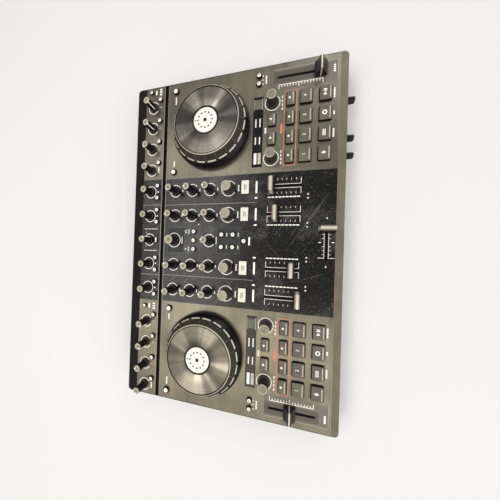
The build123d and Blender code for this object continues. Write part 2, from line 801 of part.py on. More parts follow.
with BuildPart() as case_screws:
    with BuildSketch(Plane.XY.offset(case_bottom + screw_recess - screw_head_height)):
        with Locations(*screw_places):
            Circle(screw_head_radius)
    extrude(amount=screw_head_height)
    with BuildSketch(Plane.XY.offset(case_bottom + screw_recess)):
        with Locations(*screw_places):
            Circle(screw_radius)
    extrude(amount=screw_top - case_bottom - screw_recess)
case_screws.part.label = "case_screws"
export_step(case_screws.part, "parts/case_screws.step")

# ---------------------------------------------------------------- jog wheels
jog_ring_profile = [
    (spindle_radius + shaft_clearance, jog_hub_bottom),
    (jog_hub_radius, jog_hub_bottom),
    (jog_hub_radius, disc_low),
    (sensor_disc_radius, disc_low),
    (sensor_disc_radius, disc_low + sensor_disc_thickness),
    (jog_hub_radius, disc_low + sensor_disc_thickness),
    (jog_hub_radius, jog_disc_bottom - jog_web),
    (jog_top_radius - jog_wall, jog_disc_bottom - jog_web),
    (jog_radius - jog_wall, jog_bottom + jog_skirt_height - jog_wall),
    (jog_radius - jog_wall, jog_bottom),
    (jog_radius, jog_bottom),
    (jog_radius, panel_height + jog_skirt_height),
    (jog_top_radius, jog_top),
    (jog_top_radius - jog_rim, jog_top),
    (jog_top_radius - jog_rim, jog_disc_bottom),
    (spindle_radius + shaft_clearance, jog_disc_bottom),
]
jog_disc_profile = [
    (0, jog_disc_bottom),
    (jog_top_radius - jog_rim, jog_disc_bottom),
    (jog_top_radius - jog_rim, jog_disc_bottom + jog_disc_thickness),
    (0, jog_disc_bottom + jog_disc_thickness),
]
jog_label_profile = [
    (0, jog_disc_bottom + jog_disc_thickness),
    (jog_label_radius, jog_disc_bottom + jog_disc_thickness),
    (jog_label_radius, jog_top),
    (0, jog_top),
]
spindle_profile = [
    (0, floor_top),
    (spindle_flange_radius, floor_top),
    (spindle_flange_radius, floor_top + spindle_flange_height),
    (spindle_shoulder_radius, floor_top + spindle_flange_height),
    (spindle_shoulder_radius, jog_hub_bottom - seat_gap),
    (spindle_radius, jog_hub_bottom - seat_gap),
    (spindle_radius, jog_disc_bottom - seat_gap),
    (0, jog_disc_bottom - seat_gap),
]
spindles = []
for (x, y), name in zip(jog_places, ("left", "right")):
    wheel = [turned(jog_ring_profile, x, y), turned(jog_disc_profile, x, y), turned(jog_label_profile, x, y)]
    save_group(f"{name}_jog_wheel", wheel)
    spindles.append(turned(spindle_profile, x, y))
save_group("jog_spindles", spindles)


# ---------------------------------------------------------------- knobs
def build_knob(name, x, y, form, pointer_turn):
    """A knob with a tapered grip on its own shaft, with a pointer groove unless its turn is None."""
    foot, top, height = form
    low = panel_height + knob_gap
    high = panel_height + height
    cap_profile = [
        (0, low),
        (foot, low),
        (foot, low + knob_skirt),
        (top + knob_top_edge, high - knob_top_edge),
        (top, high),
        (0, high),
    ]
    with BuildPart() as cap:
        with BuildSketch(upright_plane(x, y)):
            with BuildLine():
                Polyline(*cap_profile, close=True)
            make_face()
        revolve(axis=Axis((x, y, 0), (0, 0, 1)))
        if pointer_turn is not None:
            with BuildSketch(Plane.XY.offset(high - pointer_depth)):
                with Locations((x, y)):
                    with PolarLocations(top, 1, start_angle=90 + pointer_turn):
                        Rectangle(2 * top, pointer_width)
            extrude(amount=pointer_depth, mode=Mode.SUBTRACT)
        with BuildSketch(Plane.XY.offset(low)):
            with Locations((x, y)):
                Circle(shaft_radius)
        extrude(amount=shaft_in_knob, mode=Mode.SUBTRACT)
    with BuildPart() as shaft:
        with BuildSketch(Plane.XY.offset(board_top + control_floor + seat_gap)):
            with Locations((x, y)):
                Circle(shaft_radius)
        extrude(amount=low + shaft_in_knob - board_top - control_floor - seat_gap)
    save_group(name, [cap.part, shaft.part])


for name, x, y, form in stopped_knobs:
    build_knob(name, x, y, form, knob_rests.get(name, 0))
for name, x, y, form in endless_knobs:
    build_knob(name, x, y, form, None)


def build_front_knob(name, x):
    """A small knob on the front face, on its own shaft."""
    nose = body_front - front_knob_reach
    back = body_front - knob_gap
    with BuildPart() as cap:
        with BuildSketch(front_plane(x, back, front_control_height)):
            Circle(front_knob_radius)
        extrude(amount=back - nose)
        fillet(cap.faces().sort_by(Axis.Y)[0].edges(), front_knob_edge)
        with BuildSketch(front_plane(x, back, front_control_height)):
            Circle(shaft_radius)
        extrude(amount=front_shaft_in_knob, mode=Mode.SUBTRACT)
    inner_end = socket_wall_front + control_size - control_floor - seat_gap
    with BuildPart() as shaft:
        with BuildSketch(front_plane(x, inner_end, front_control_height)):
            Circle(shaft_radius)
        extrude(amount=inner_end - back + front_shaft_in_knob)
    save_group(name, [cap.part, shaft.part])


front_knob_names = ("phones_mix_knob", "phones_level_knob", "microphone_level_knob")
for name, x in zip(front_knob_names, front_knob_columns):
    build_front_knob(name, x)


# ---------------------------------------------------------------- fader caps
def build_fader(name, x, y, rest, direction, base, top, height):
    """A fader cap with a grip that narrows upwards, on its lever."""
    place = (x, y + rest) if direction == "y" else (x + rest, y)
    base = turned_size(base, direction)
    top = turned_size(top, direction)
    lever = turned_size((lever_thickness, lever_length), direction)
    groove = turned_size((top[0] + base[0], cap_groove), direction)
    low = panel_height + knob_gap
    high = panel_height + height
    with BuildPart() as cap:
        with BuildSketch(Plane.XY.offset(low)):
            with Locations(place):
                RectangleRounded(base[0], base[1], cap_corner)
        extrude(amount=cap_foot)
        with BuildSketch(Plane.XY.offset(low + cap_foot)):
            with Locations(place):
                RectangleRounded(base[0], base[1], cap_corner)
        with BuildSketch(Plane.XY.offset(high)):
            with Locations(place):
                RectangleRounded(top[0], top[1], cap_corner)
        loft()
        with BuildSketch(Plane.XY.offset(high - cap_groove / 2)):
            with Locations(place):
                Rectangle(groove[0], groove[1])
        extrude(amount=cap_groove, mode=Mode.SUBTRACT)
        with BuildSketch(Plane.XY.offset(low)):
            with Locations(place):
                Rectangle(lever[0], lever[1])
        extrude(amount=lever_in_cap, mode=Mode.SUBTRACT)
    lever_bottom = board_top + slider_body_height - slider_slot_depth + seat_gap
    with BuildPart() as stem:
        with BuildSketch(Plane.XY.offset(lever_bottom)):
            with Locations(place):
                Rectangle(lever[0], lever[1])
        extrude(amount=low + lever_in_cap - lever_bottom)
    save_group(name, [cap.part, stem.part])


for name, x, y, travel, rest, direction, base, top, height in faders:
    build_fader(name, x, y, rest, direction, base, top, height)


# ---------------------------------------------------------------- keys and buttons
def build_keys(name, keys, buttons):
    """One group of keys and round buttons, each with a lip under the case and a plunger over its switch."""
    sizes = {}
    for x, y, size in keys:
        sizes.setdefault(size, []).append((x, y))
    radii = {}
    for x, y, radius in buttons:
        radii.setdefault(radius, []).append((x, y))
    high = panel_height + key_proud
    with BuildPart() as group:
        for (width, depth), points in sizes.items():
            with BuildSketch(Plane.XY.offset(key_lip_bottom)):
                with Locations(*points):
                    RectangleRounded(width + 2 * key_lip, depth + 2 * key_lip, key_corner + key_lip)
            extrude(amount=key_lip_thickness)
            with BuildSketch(Plane.XY.offset(key_lip_top)):
                with Locations(*points):
                    RectangleRounded(width, depth, key_corner)
            extrude(amount=high - key_lip_top)
        for radius, points in radii.items():
            with BuildSketch(Plane.XY.offset(key_lip_bottom)):
                with Locations(*points):
                    Circle(radius + key_lip)
            extrude(amount=key_lip_thickness)
            with BuildSketch(Plane.XY.offset(key_lip_top)):
                with Locations(*points):
                    Circle(radius)
            extrude(amount=high - key_lip_top)
        chamfer(group.faces().group_by(Axis.Z)[-1].edges(), key_edge)
        with BuildSketch(Plane.XY.offset(plunger_bottom)):
            with Locations(*[(x, y) for x, y, size in keys + buttons]):
                Circle(plunger_radius)
        extrude(amount=key_lip_bottom - plunger_bottom)
    group.part.label = name
    export_step(group.part, f"parts/{name}.step")


for name, keys, buttons in key_groups:
    build_keys(name, keys, buttons)
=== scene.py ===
"""The visible dress of a mixing controller with two decks and four channels.

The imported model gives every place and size. The classes below stand for the sub-assemblies, and
each builds its meshes from grids of points that numpy works out. Lengths are in millimetres
unless a line says otherwise, and meshes are in metres.
"""

import json
import logging
import math
from dataclasses import dataclass
from enum import Enum, IntEnum
from functools import partial
from typing import Any, Callable, Iterable, Optional, Sequence

import bpy
import numpy as np
from bpy.types import Material, Mesh, Node, NodeTree, Object
from mathutils import Matrix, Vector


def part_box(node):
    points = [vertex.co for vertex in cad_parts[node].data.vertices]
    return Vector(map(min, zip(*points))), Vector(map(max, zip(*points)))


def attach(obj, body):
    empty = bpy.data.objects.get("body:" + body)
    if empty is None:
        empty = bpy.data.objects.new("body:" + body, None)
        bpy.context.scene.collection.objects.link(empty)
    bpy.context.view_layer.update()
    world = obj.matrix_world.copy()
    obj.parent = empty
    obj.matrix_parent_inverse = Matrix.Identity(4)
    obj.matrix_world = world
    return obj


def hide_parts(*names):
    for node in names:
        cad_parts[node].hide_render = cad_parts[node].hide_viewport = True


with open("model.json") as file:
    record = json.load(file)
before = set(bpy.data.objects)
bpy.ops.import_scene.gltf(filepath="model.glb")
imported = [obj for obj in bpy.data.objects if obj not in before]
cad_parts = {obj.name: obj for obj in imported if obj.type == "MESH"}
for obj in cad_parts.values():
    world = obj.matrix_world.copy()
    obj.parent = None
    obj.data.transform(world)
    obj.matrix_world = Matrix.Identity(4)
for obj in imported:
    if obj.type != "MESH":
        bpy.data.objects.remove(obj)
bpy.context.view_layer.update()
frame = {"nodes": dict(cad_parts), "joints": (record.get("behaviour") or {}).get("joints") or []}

MM = 0.001
FULL_TURN = 2 * math.pi
INK_HEIGHT = 0.06      # how far a printed mark stands above its surface
INK_ROOT = 0.02        # how far it reaches into the surface
STATIC_BODY = "case"

Source = tuple[Node, Any]                # a node and the output to take from it
Sockets = dict[Any, Any]                 # a plain value or a source, by input name or number
Stops = Sequence[tuple[float, str]]      # place and hex colour of each stop of a colour ramp
AddNode = Callable[..., Node]            # add_node, bound to one tree
Points = Sequence[tuple[float, float]]   # places in a plane, or the corners of a section

log = logging.getLogger("controller")


class Side(Enum):
    """A deck's side of the mixer; the value is the sign of x there."""

    LEFT = -1
    RIGHT = 1

    @property
    def word(self) -> str:
        """The side as the names of the nodes say it."""
        return self.name.lower()


# -------------------- nodes
def linear(hex_colour: str) -> tuple[float, float, float, float]:
    """Turn an sRGB hex colour into linear light.

    Args:
        hex_colour: Six hex digits, red, green and blue.

    Returns:
        Linear red, green and blue, and an alpha of 1.
    """
    parts = [int(hex_colour[i:i + 2], 16) / 255 for i in (0, 2, 4)]
    light = [p / 12.92 if p <= 0.04045 else ((p + 0.055) / 1.055) ** 2.4 for p in parts]
    return (light[0], light[1], light[2], 1.0)


def add_node(tree: NodeTree, kind: str, inputs: Optional[Sockets] = None, stops: Stops = (),
             **settings: Any) -> Node:
    """Add one node with its settings, its inputs and its links.

    Args:
        tree: The node tree that gets the node.
        kind: The node's type, without the ShaderNode that it starts with.
        inputs: What each input gets, as a plain value or as a node and the output to take.
        stops: The stops of a colour ramp.
        settings: Attributes to set on the node.

    Returns:
        The new node.
    """
    node = tree.nodes.new("ShaderNode" + kind)
    for key, value in settings.items():
        setattr(node, key, value)
    for key, value in (inputs or {}).items():
        if isinstance(value, tuple) and isinstance(value[0], Node):
            tree.links.new(value[0].outputs[value[1]], node.inputs[key])
        else:
            node.inputs[key].default_value = value
    while stops and len(node.color_ramp.elements) < len(stops):
        node.color_ramp.elements.new(0.5)
    for i, (place, colour) in enumerate(stops):
        node.color_ramp.elements[i].position = place
        node.color_ramp.elements[i].color = linear(colour)
    return node


# -------------------- meshes
def round_angles(count: int) -> np.ndarray:
    """Angles of points spread evenly round a circle, in radians from +x."""
    return np.linspace(0, FULL_TURN, count, endpoint=False)


def right_of(path: np.ndarray) -> np.ndarray:
    """Unit vectors to the right of a path in a plane: its direction (a, b) turned to (b, -a).

    Args:
        path: Points of the path, one row each.

    Returns:
        One vector for each point.
    """
    ahead = np.gradient(path, axis=0)
    ahead = ahead / np.linalg.norm(ahead, axis=1, keepdims=True)
    return np.stack([ahead[:, 1], -ahead[:, 0]], axis=-1)


class MeshStack:
    """Collects grids of points and prisms, and makes one mesh of them."""

    def __init__(self) -> None:
        """Start with no points."""
        self.points: list[np.ndarray] = []
        self.faces: list[list[int]] = []
        self.slots: list[int] = []
        self.count = 0

    def add(self, points: np.ndarray, faces: Iterable[Sequence[int]]) -> None:
        """Add points and faces of slot 0.

        Args:
            points: The points in metres, one row each.
            faces: The faces, as point numbers from 0.
        """
        for face in faces:
            self.faces.append([self.count + int(i) for i in face])
            self.slots.append(0)
        self.points.append(np.asarray(points, float).reshape(-1, 3))
        self.count += len(self.points[-1])

    def closed_rings(self, rings: np.ndarray, row_slots: Optional[Sequence[int]] = None) -> None:
        """Add a closed solid: quads between neighbouring rings, and a fan over each end ring.

        The surface is P(u, v) with u round each ring and v from ring to ring, and each end is
        closed by triangles to the mean of its ring.

        Args:
            rings: Points in metres, of shape (rings, points in a ring, 3).
            row_slots: The material slot of each band between two rings; the fans take the first
                and the last one. All are slot 0 if left out.
        """
        rows, columns = rings.shape[:2]
        slots = list(row_slots) if row_slots is not None else [0] * (rows - 1)
        index = np.arange(rows * columns).reshape(rows, columns)
        after = np.roll(index, -1, axis=1)
        quads = np.stack([index[:-1], after[:-1], after[1:], index[1:]], axis=-1)
        middles = [rings[:1].mean(axis=1), rings[-1:].mean(axis=1)]
        start = self.count
        for row, slot in enumerate(slots):
            self.faces.extend((quads[row] + start).tolist())
            self.slots.extend([slot] * columns)
        low, high = rows * columns, rows * columns + 1
        first = np.stack([after[0], index[0], np.full(columns, low)], axis=-1) + start
        last = np.stack([index[-1], after[-1], np.full(columns, high)], axis=-1) + start
        self.faces.extend(first.tolist() + last.tolist())
        self.slots.extend([slots[0]] * columns + [slots[-1]] * columns)
        self.points.append(np.concatenate([rings.reshape(-1, 3)] + middles))
        self.count += high + 1

    def tube_ring(self, section: np.ndarray, centre: Sequence[float], segments: int) -> None:
        """Add a solid ring: a closed section turned about an upright line.

        Args:
            section: Corners (radius, height), anticlockwise with radius to the right.
            centre: x and y of the line, in metres.
            segments: Steps round the ring.
        """
        angle = round_angles(segments)[:, None]
        radius = section[:, 0][None, :] * MM
        height = np.broadcast_to(section[:, 1][None, :] * MM, (segments, len(section)))
        x, y = centre[0] + radius * np.cos(angle), centre[1] + radius * np.sin(angle)
        index = np.arange(segments * len(section)).reshape(segments, len(section))
        along = np.roll(index, -1, axis=0)
        quads = np.stack([index, along, np.roll(along, -1, axis=1), np.roll(index, -1, axis=1)], axis=-1)
        self.add(np.stack([x, y, height], axis=-1), quads.reshape(-1, 4).tolist())

    def mesh(self, name: str, materials: Sequence[Material]) -> Mesh:
        """Make the mesh.

        Args:
            name: The mesh's name.
            materials: Its materials, one for each slot number.

        Returns:
            The mesh.
        """
        mesh = bpy.data.meshes.new(name)
        mesh.from_pydata(np.concatenate(self.points), [], self.faces)
        for material in materials:
            mesh.materials.append(material)
        mesh.polygons.foreach_set("material_index", np.array(self.slots, np.int32))
        return mesh

    def build(self, name: str, materials: Sequence[Material], body: str,
              slot: str, sharp_degrees: float = 35.0) -> Object:
        """Make the object, dress it and let it ride on its body.

        Args:
            name: The piece's name.
            materials: Its materials, one for each slot number.
            body: The body that it rides on.
            slot: The record's material slot; not used.
            sharp_degrees: Edges that turn more than this stay sharp.

        Returns:
            The piece.
        """
        mesh = self.mesh(name, materials)
        mesh.shade_smooth()
        mesh.set_sharp_from_angle(angle=math.radians(sharp_degrees))
        mesh.update()
        piece = bpy.data.objects.new(name, mesh)
        bpy.context.scene.collection.objects.link(piece)
        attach(piece, body)
        log.info("%s: %d faces on body %s", name, len(mesh.polygons), body)
        return piece


def turned_rings(profile: np.ndarray, centre: Sequence[float], segments: int,
                 shape: Optional[np.ndarray] = None) -> np.ndarray:
    """Rings of a turned form: x = cx + r(v) s(u, v) cos u, y = cy + r(v) s(u, v) sin u, z = h(v).

    Args:
        profile: Radius and height, one row for each ring, from the bottom.
        centre: x and y of the upright axis, in metres.
        segments: Points in a ring.
        shape: The factor s on the radius, of shape (rings, segments); 1 if left out.

    Returns:
        Points in metres, of shape (rings, segments, 3).
    """
    angle = round_angles(segments)[None, :]
    radius = profile[:, :1] * MM * (1.0 if shape is None else shape)
    height = np.broadcast_to(profile[:, 1:] * MM, (len(profile), segments))
    return np.stack([centre[0] + radius * np.cos(angle), centre[1] + radius * np.sin(angle), height], axis=-1)


def rounded_rings(levels: np.ndarray, centre: Sequence[float], steps: int = 6) -> np.ndarray:
    """Rings of a block with rounded corners.

    Each ring is four quarter circles of its corner radius, set at the corners of its rectangle.

    Args:
        levels: Half width, half depth, corner radius and height of each ring.
        centre: x and y of the block, in metres.
        steps: Points in each quarter circle.

    Returns:
        Points in metres, of shape (rings, 4 * steps, 3).
    """
    quarter = np.linspace(0, math.pi / 2, steps)
    angle = np.concatenate([quarter + k * math.pi / 2 for k in range(4)])[None, :]
    side_x = np.repeat(np.array([1, -1, -1, 1]), steps)[None, :]
    side_y = np.repeat(np.array([1, 1, -1, -1]), steps)[None, :]
    half_x, half_y, corner, height = (levels[:, i:i + 1] for i in range(4))
    x = side_x * (half_x - corner) + corner * np.cos(angle)
    y = side_y * (half_y - corner) + corner * np.sin(angle)
    z = np.broadcast_to(height, x.shape)
    return np.stack([centre[0] + x * MM, centre[1] + y * MM, z * MM], axis=-1)


def ribbon_rings(path: np.ndarray, width: float, low: float, high: float) -> np.ndarray:
    """Rings of a flat ribbon along a path in plan: each point gets its normal times half the width.

    Args:
        path: Points (x, y).
        width: Width of the ribbon.
        low: Its underside.
        high: Its top.

    Returns:
        Points in metres, of shape (points, 4, 3).
    """
    right = right_of(path) * width / 2
    corners = [(path - right, high), (path + right, high), (path + right, low), (path - right, low)]
    rings = [np.concatenate([edge, np.full((len(path), 1), z)], axis=1) for edge, z in corners]
    return np.stack(rings, axis=1) * MM


def prism_rings(outline: np.ndarray, low: float, high: float) -> np.ndarray:
    """Rings of an upright prism, in metres: its outline (x, y), anticlockwise, at two heights."""
    rings = [np.concatenate([outline, np.full((len(outline), 1), z)], axis=1) for z in (low, high)]
    return np.stack(rings) * MM


@dataclass(frozen=True)
class SolidBox:
    """The box of a node, or of one solid in it."""

    low: np.ndarray
    high: np.ndarray

    @property
    def centre(self) -> np.ndarray:
        """Middle of the box."""
        return (self.low + self.high) / 2

    @property
    def size(self) -> np.ndarray:
        """Length of each side."""
        return self.high - self.low


def node_box(node: str) -> SolidBox:
    """Box of a whole node."""
    low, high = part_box(node)
    return SolidBox(np.array(low) / MM, np.array(high) / MM)


def solid_boxes(node: str) -> list[SolidBox]:
    """Boxes of the separate solids in a node.

    Points at one place count as one, and each point takes the lowest number among the faces that
    it shares until no number changes.

    Args:
        node: The node's name.

    Returns:
        One box for each solid, in order of x and then y.
    """
    mesh = frame["nodes"][node].data
    points = np.empty(len(mesh.vertices) * 3)
    mesh.vertices.foreach_get("co", points)
    points = points.reshape(-1, 3) / MM
    corners = np.empty(len(mesh.loops), np.int64)
    mesh.loops.foreach_get("vertex_index", corners)
    same = np.unique(np.round(points, 3), axis=0, return_inverse=True)[1].reshape(-1)
    faces = same[corners].reshape(-1, 3)
    label = np.arange(same.max() + 1)
    while True:
        lowest = label[faces].min(axis=1)
        following = label.copy()
        for side in range(3):
            np.minimum.at(following, faces[:, side], lowest)
        following = following[following]
        if np.array_equal(following, label):
            break
        label = following
    owner = label[same]
    solids = [points[owner == number] for number in np.unique(owner)]
    boxes = [SolidBox(solid.min(axis=0), solid.max(axis=0)) for solid in solids]
    return sorted(boxes, key=lambda box: (round(box.centre[0], 1), round(box.centre[1], 1)))


PLATE = node_box("mixer_faceplates")
PLATE_TOP = PLATE.high[2]
PLATE_FRONT = PLATE.low[1]
STRIP_REAR = PLATE.high[1]
STRIP_FRONT = max(box.low[1] for box in solid_boxes("mixer_faceplates"))


def main_row(distance: float) -> float:
    """Y of a row on the main faceplates, by its distance from their front edge."""
    return PLATE_FRONT + distance


def strip_row(distance: float) -> float:
    """Y of a row on the rear strip, by its distance from the strip's front edge."""
    return STRIP_FRONT + distance


# -------------------- patterns and finishes
def clouds(add: AddNode, place: Source, size: float, detail: float, stops: Stops) -> Source:
    """Add soft clouds of tones, of one width and with some finer layers, and return their colour."""
    noise = add("TexNoise", {"Vector": place, "Scale": 1 / (size * MM), "Detail": detail})
    return add("ValToRGB", {"Fac": (noise, "Fac")}, stops), "Color"


def streaks(add: AddNode, place: Source, length: float, width: float, detail: float,
            rough: float = 0.5) -> Source:
    """Add noise that is drawn out along x, with some finer layers, and return it as a grey value."""
    drawn = add("Mapping", {"Vector": place, "Scale": (1 / (length * MM), 1 / (width * MM), 1.0)})
    return add("TexNoise", {"Vector": (drawn, "Vector"), "Scale": 1.0, "Detail": detail,
                            "Roughness": rough}), "Fac"


@dataclass(frozen=True)
class Finish:
    """One material with a Principled shader, whose patterns lie in Object coordinates."""

    name: str
    colour: str

    def sockets(self, add: AddNode, place: Source) -> Sockets:
        """Add the nodes of the finish, and return what each socket of the shader gets."""
        raise NotImplementedError

    def make(self) -> Material:
        """Build the material.

        Returns:
            The material.
        """
        material = bpy.data.materials.new(self.name)
        material.use_nodes = True
        material.node_tree.nodes.clear()
        add = partial(add_node, material.node_tree)
        place = add("TexCoord")
        shader = add("BsdfPrincipled", self.sockets(add, (place, "Object")))
        add("OutputMaterial", {"Surface": (shader, "BSDF")})
        return material


@dataclass(frozen=True)
class MouldedPlastic(Finish):
    """ABS from an etched mould: a fine even grain, satin, a little paler where hands rub it."""

    worn: str
    roughness: float = 0.5
    grain: float = 0.35
    depth: float = 0.02
    sheen: float = 0.5
    wear: float = 22.0

    def sockets(self, add: AddNode, place: Source) -> Sockets:
        """Add clouds of wear and the grain of the mould.

        Args:
            add: Adds a node to the material's tree.
            place: The Object coordinates.

        Returns:
            What each socket of the shader gets.
        """
        grain = add("TexNoise", {"Vector": place, "Scale": 1 / (self.grain * MM), "Detail": 2.0})
        bump = add("Bump", {"Strength": 0.35, "Distance": self.depth * MM, "Height": (grain, "Fac")})
        return {"Base Color": clouds(add, place, self.wear, 4.0, [(0.42, self.colour), (0.78, self.worn)]),
                "Normal": (bump, "Normal"), "Roughness": self.roughness, "IOR": 1.53,
                "Specular IOR Level": self.sheen}


@dataclass(frozen=True)
class BrushedAluminium(Finish):
    """Anodised aluminium sheet, brushed along its length: fine streaks that stretch highlights.

    The streaks are drawn about five times as coarse as the brush leaves them, so that they show.
    """

    streak_colour: str
    roughness: float = 0.36
    streak: float = 0.5
    streak_length: float = 60.0
    band: float = 12.0
    band_length: float = 300.0
    patch: float = 70.0

    def sockets(self, add: AddNode, place: Source) -> Sockets:
        """Add fine streaks, the wide bands of the sheet's rolling and soft patches, and mix them.

        Args:
            add: Adds a node to the material's tree.
            place: The Object coordinates.

        Returns:
            What each socket of the shader gets.
        """
        across = add("CombineXYZ", {"Y": 1.0})
        lines = streaks(add, place, self.streak_length, self.streak, 5.0, 0.7)
        bands = streaks(add, place, self.band_length, self.band, 3.0, 0.6)
        patches = add("TexNoise", {"Vector": place, "Scale": 1 / (self.patch * MM), "Detail": 3.0})
        streaked = add("Math", {0: lines, 1: 0.55, 2: (patches, "Fac")}, operation="MULTIPLY_ADD")
        mixed = add("Math", {0: bands, 1: 0.45, 2: (streaked, "Value")}, operation="MULTIPLY_ADD")
        shade = add("MapRange", {"Value": (mixed, "Value"), "From Min": 0.74, "From Max": 1.26})
        colour = add("ValToRGB", {"Fac": (shade, "Result")}, [(0.0, self.colour), (1.0, self.streak_colour)])
        rough = add("MapRange", {"Value": lines, "From Min": 0.3, "From Max": 0.7,
                                 "To Min": self.roughness - 0.07, "To Max": self.roughness + 0.09})
        bump = add("Bump", {"Strength": 0.25, "Distance": 0.02 * MM, "Height": lines})
        return {"Base Color": (colour, "Color"), "Roughness": (rough, "Result"), "Normal": (bump, "Normal"),
                "Tangent": (across, "Vector"), "Metallic": 0.82, "Anisotropic": 0.7}


@dataclass(frozen=True)
class SpunAluminium(Finish):
    """Aluminium disc faced on a lathe: fine rings, with painted highlight and painted shade in sectors that
    fan out from the middle.
    """

    groove_colour: str
    fan_colour: str
    centre: tuple[float, float]
    fan_turn: float
    groove: float = 0.5
    roughness: float = 0.27
    fan: float = 1.5

    def sockets(self, add: AddNode, place: Source) -> Sockets:
        """Add rings about the disc's centre, and painted highlight and painted shade in sectors that fan out
        along its radii.

        Args:
            add: Adds a node to the material's tree.
            place: The Object coordinates.

        Returns:
            What each socket of the shader gets.
        """
        centred = add("Mapping", {"Vector": place, "Location": (-self.centre[0] * MM,
                                                                -self.centre[1] * MM, 0.0)})
        flat = add("VectorMath", {0: (centred, "Vector"), 1: (1.0, 1.0, 0.0)}, operation="MULTIPLY")
        radius = add("VectorMath", {0: (flat, "Vector")}, operation="LENGTH")
        unit = add("VectorMath", {0: (flat, "Vector")}, operation="NORMALIZE")
        rings = add("TexNoise", {"W": (radius, "Value"), "Scale": 1 / (self.groove * MM),
                                 "Detail": 4.0}, noise_dimensions="1D")
        # The fan noise, turned per disc, paints bright and dark sectors: painted highlight and painted shade.
        turned = add("Mapping", {"Vector": (unit, "Vector"),
                                 "Rotation": (0.0, 0.0, math.radians(self.fan_turn))})
        fan = add("TexNoise", {"Vector": (turned, "Vector"), "Scale": self.fan, "Detail": 2.0,
                               "Roughness": 0.4})
        mixed = add("Math", {0: (rings, "Fac"), 1: 0.25, 2: (fan, "Fac")}, operation="MULTIPLY_ADD")
        colour = add("ValToRGB", {"Fac": (mixed, "Value")},
                     [(0.505, self.groove_colour), (0.62, self.colour), (0.745, self.fan_colour)])
        rough = add("MapRange", {"Value": (rings, "Fac"), "From Min": 0.3, "From Max": 0.7,
                                 "To Min": self.roughness + 0.04, "To Max": self.roughness - 0.02})
        return {"Base Color": (colour, "Color"), "Roughness": (rough, "Result"), "Tangent": (unit, "Vector"),
                "Metallic": 0.92, "Anisotropic": 0.92}


@dataclass(frozen=True)
class GlossAcrylic(Finish):
    """Gloss black acrylic sheet that has been wiped often: hairline scratches and settled dust.

    The specks and scratches are drawn coarser than they are, so that they show.
    """

    scratch_colour: str
    roughness: float = 0.3
    scratch: float = 0.5
    scratch_length: float = 150.0
    scratch_turns: tuple[tuple[float, float], ...] = ((0.62, 0.72), (-0.75, 0.75), (1.3, 0.77))
    speck: float = 1.1
    patch: float = 45.0
    smear: float = 9.0
    film: float = 0.09

    def scratches(self, add: AddNode, place: Source) -> Source:
        """Add hairline scratches at a few angles: thin slices of streaks, of which the brightest shows.

        Args:
            add: Adds a node to the material's tree.
            place: The Object coordinates.

        Returns:
            The scratches, as a grey value.
        """
        marks: Optional[Source] = None
        for turn, limit in self.scratch_turns:
            turned = add("Mapping", {"Vector": place, "Rotation": (0.0, 0.0, turn)})
            lines = streaks(add, (turned, "Vector"), self.scratch_length, self.scratch, 1.0)
            line = add("MapRange", {"Value": lines, "From Min": limit, "From Max": limit + 0.06})
            if marks is None:
                marks = (line, "Result")
            else:
                marks = add("Math", {0: marks, 1: (line, "Result")}, operation="MAXIMUM"), "Value"
        return marks

    def specks(self, add: AddNode, place: Source, dusty: Source) -> Source:
        """Add dust specks: the middles of cells chosen by chance, more of them where it is dusty.

        Args:
            add: Adds a node to the material's tree.
            place: The Object coordinates.
            dusty: How dusty each place is.

        Returns:
            The specks, each with a brightness of its own.
        """
        cells = add("TexVoronoi", {"Vector": place, "Scale": 1 / (self.speck * MM)})
        near = add("Math", {0: (cells, "Distance"), 1: 0.3}, operation="LESS_THAN")
        split = add("SeparateColor", {"Color": (cells, "Color")})
        chance = add("Math", {0: dusty, 1: 0.3, 2: (split, "Red")}, operation="MULTIPLY_ADD")
        chosen = add("Math", {0: (chance, "Value"), 1: 0.93}, operation="GREATER_THAN")
        shown = add("Math", {0: (near, "Value"), 1: (chosen, "Value")}, operation="MULTIPLY")
        return add("Math", {0: (shown, "Value"), 1: (split, "Green")}, operation="MULTIPLY"), "Value"

    def sockets(self, add: AddNode, place: Source) -> Sockets:
        """Add scratches, a film of haze and dust specks.

        Args:
            add: Adds a node to the material's tree.
            place: The Object coordinates.

        Returns:
            What each socket of the shader gets.
        """
        patches = add("TexNoise", {"Vector": place, "Scale": 1 / (self.patch * MM), "Detail": 3.0})
        dust = add("MapRange", {"Value": (patches, "Fac"), "From Min": 0.4, "From Max": 0.62})
        dusty = (dust, "Result")
        haze = add("TexNoise", {"Vector": place, "Scale": 1 / (self.smear * MM), "Detail": 6.0,
                                "Roughness": 0.7})
        smear = add("Math", {0: (haze, "Fac"), 1: dusty}, operation="MULTIPLY")
        film = add("MapRange", {"Value": (smear, "Value"), "From Min": 0.35, "From Max": 0.75,
                                "To Max": self.film})
        worn = add("Math", {0: self.scratches(add, place), 1: 0.65, 2: (film, "Result")},
                   operation="MULTIPLY_ADD")
        total = add("Math", {0: self.specks(add, place, dusty), 1: 0.62, 2: (worn, "Value")},
                    operation="MULTIPLY_ADD", use_clamp=True)
        colour = add("ValToRGB", {"Fac": (total, "Value")}, [(0.0, self.colour), (1.0, self.scratch_colour)])
        rough = add("MapRange", {"Value": (total, "Value"), "To Min": self.roughness, "To Max": 0.55})
        return {"Base Color": (colour, "Color"), "Roughness": (rough, "Result"), "IOR": 1.49}


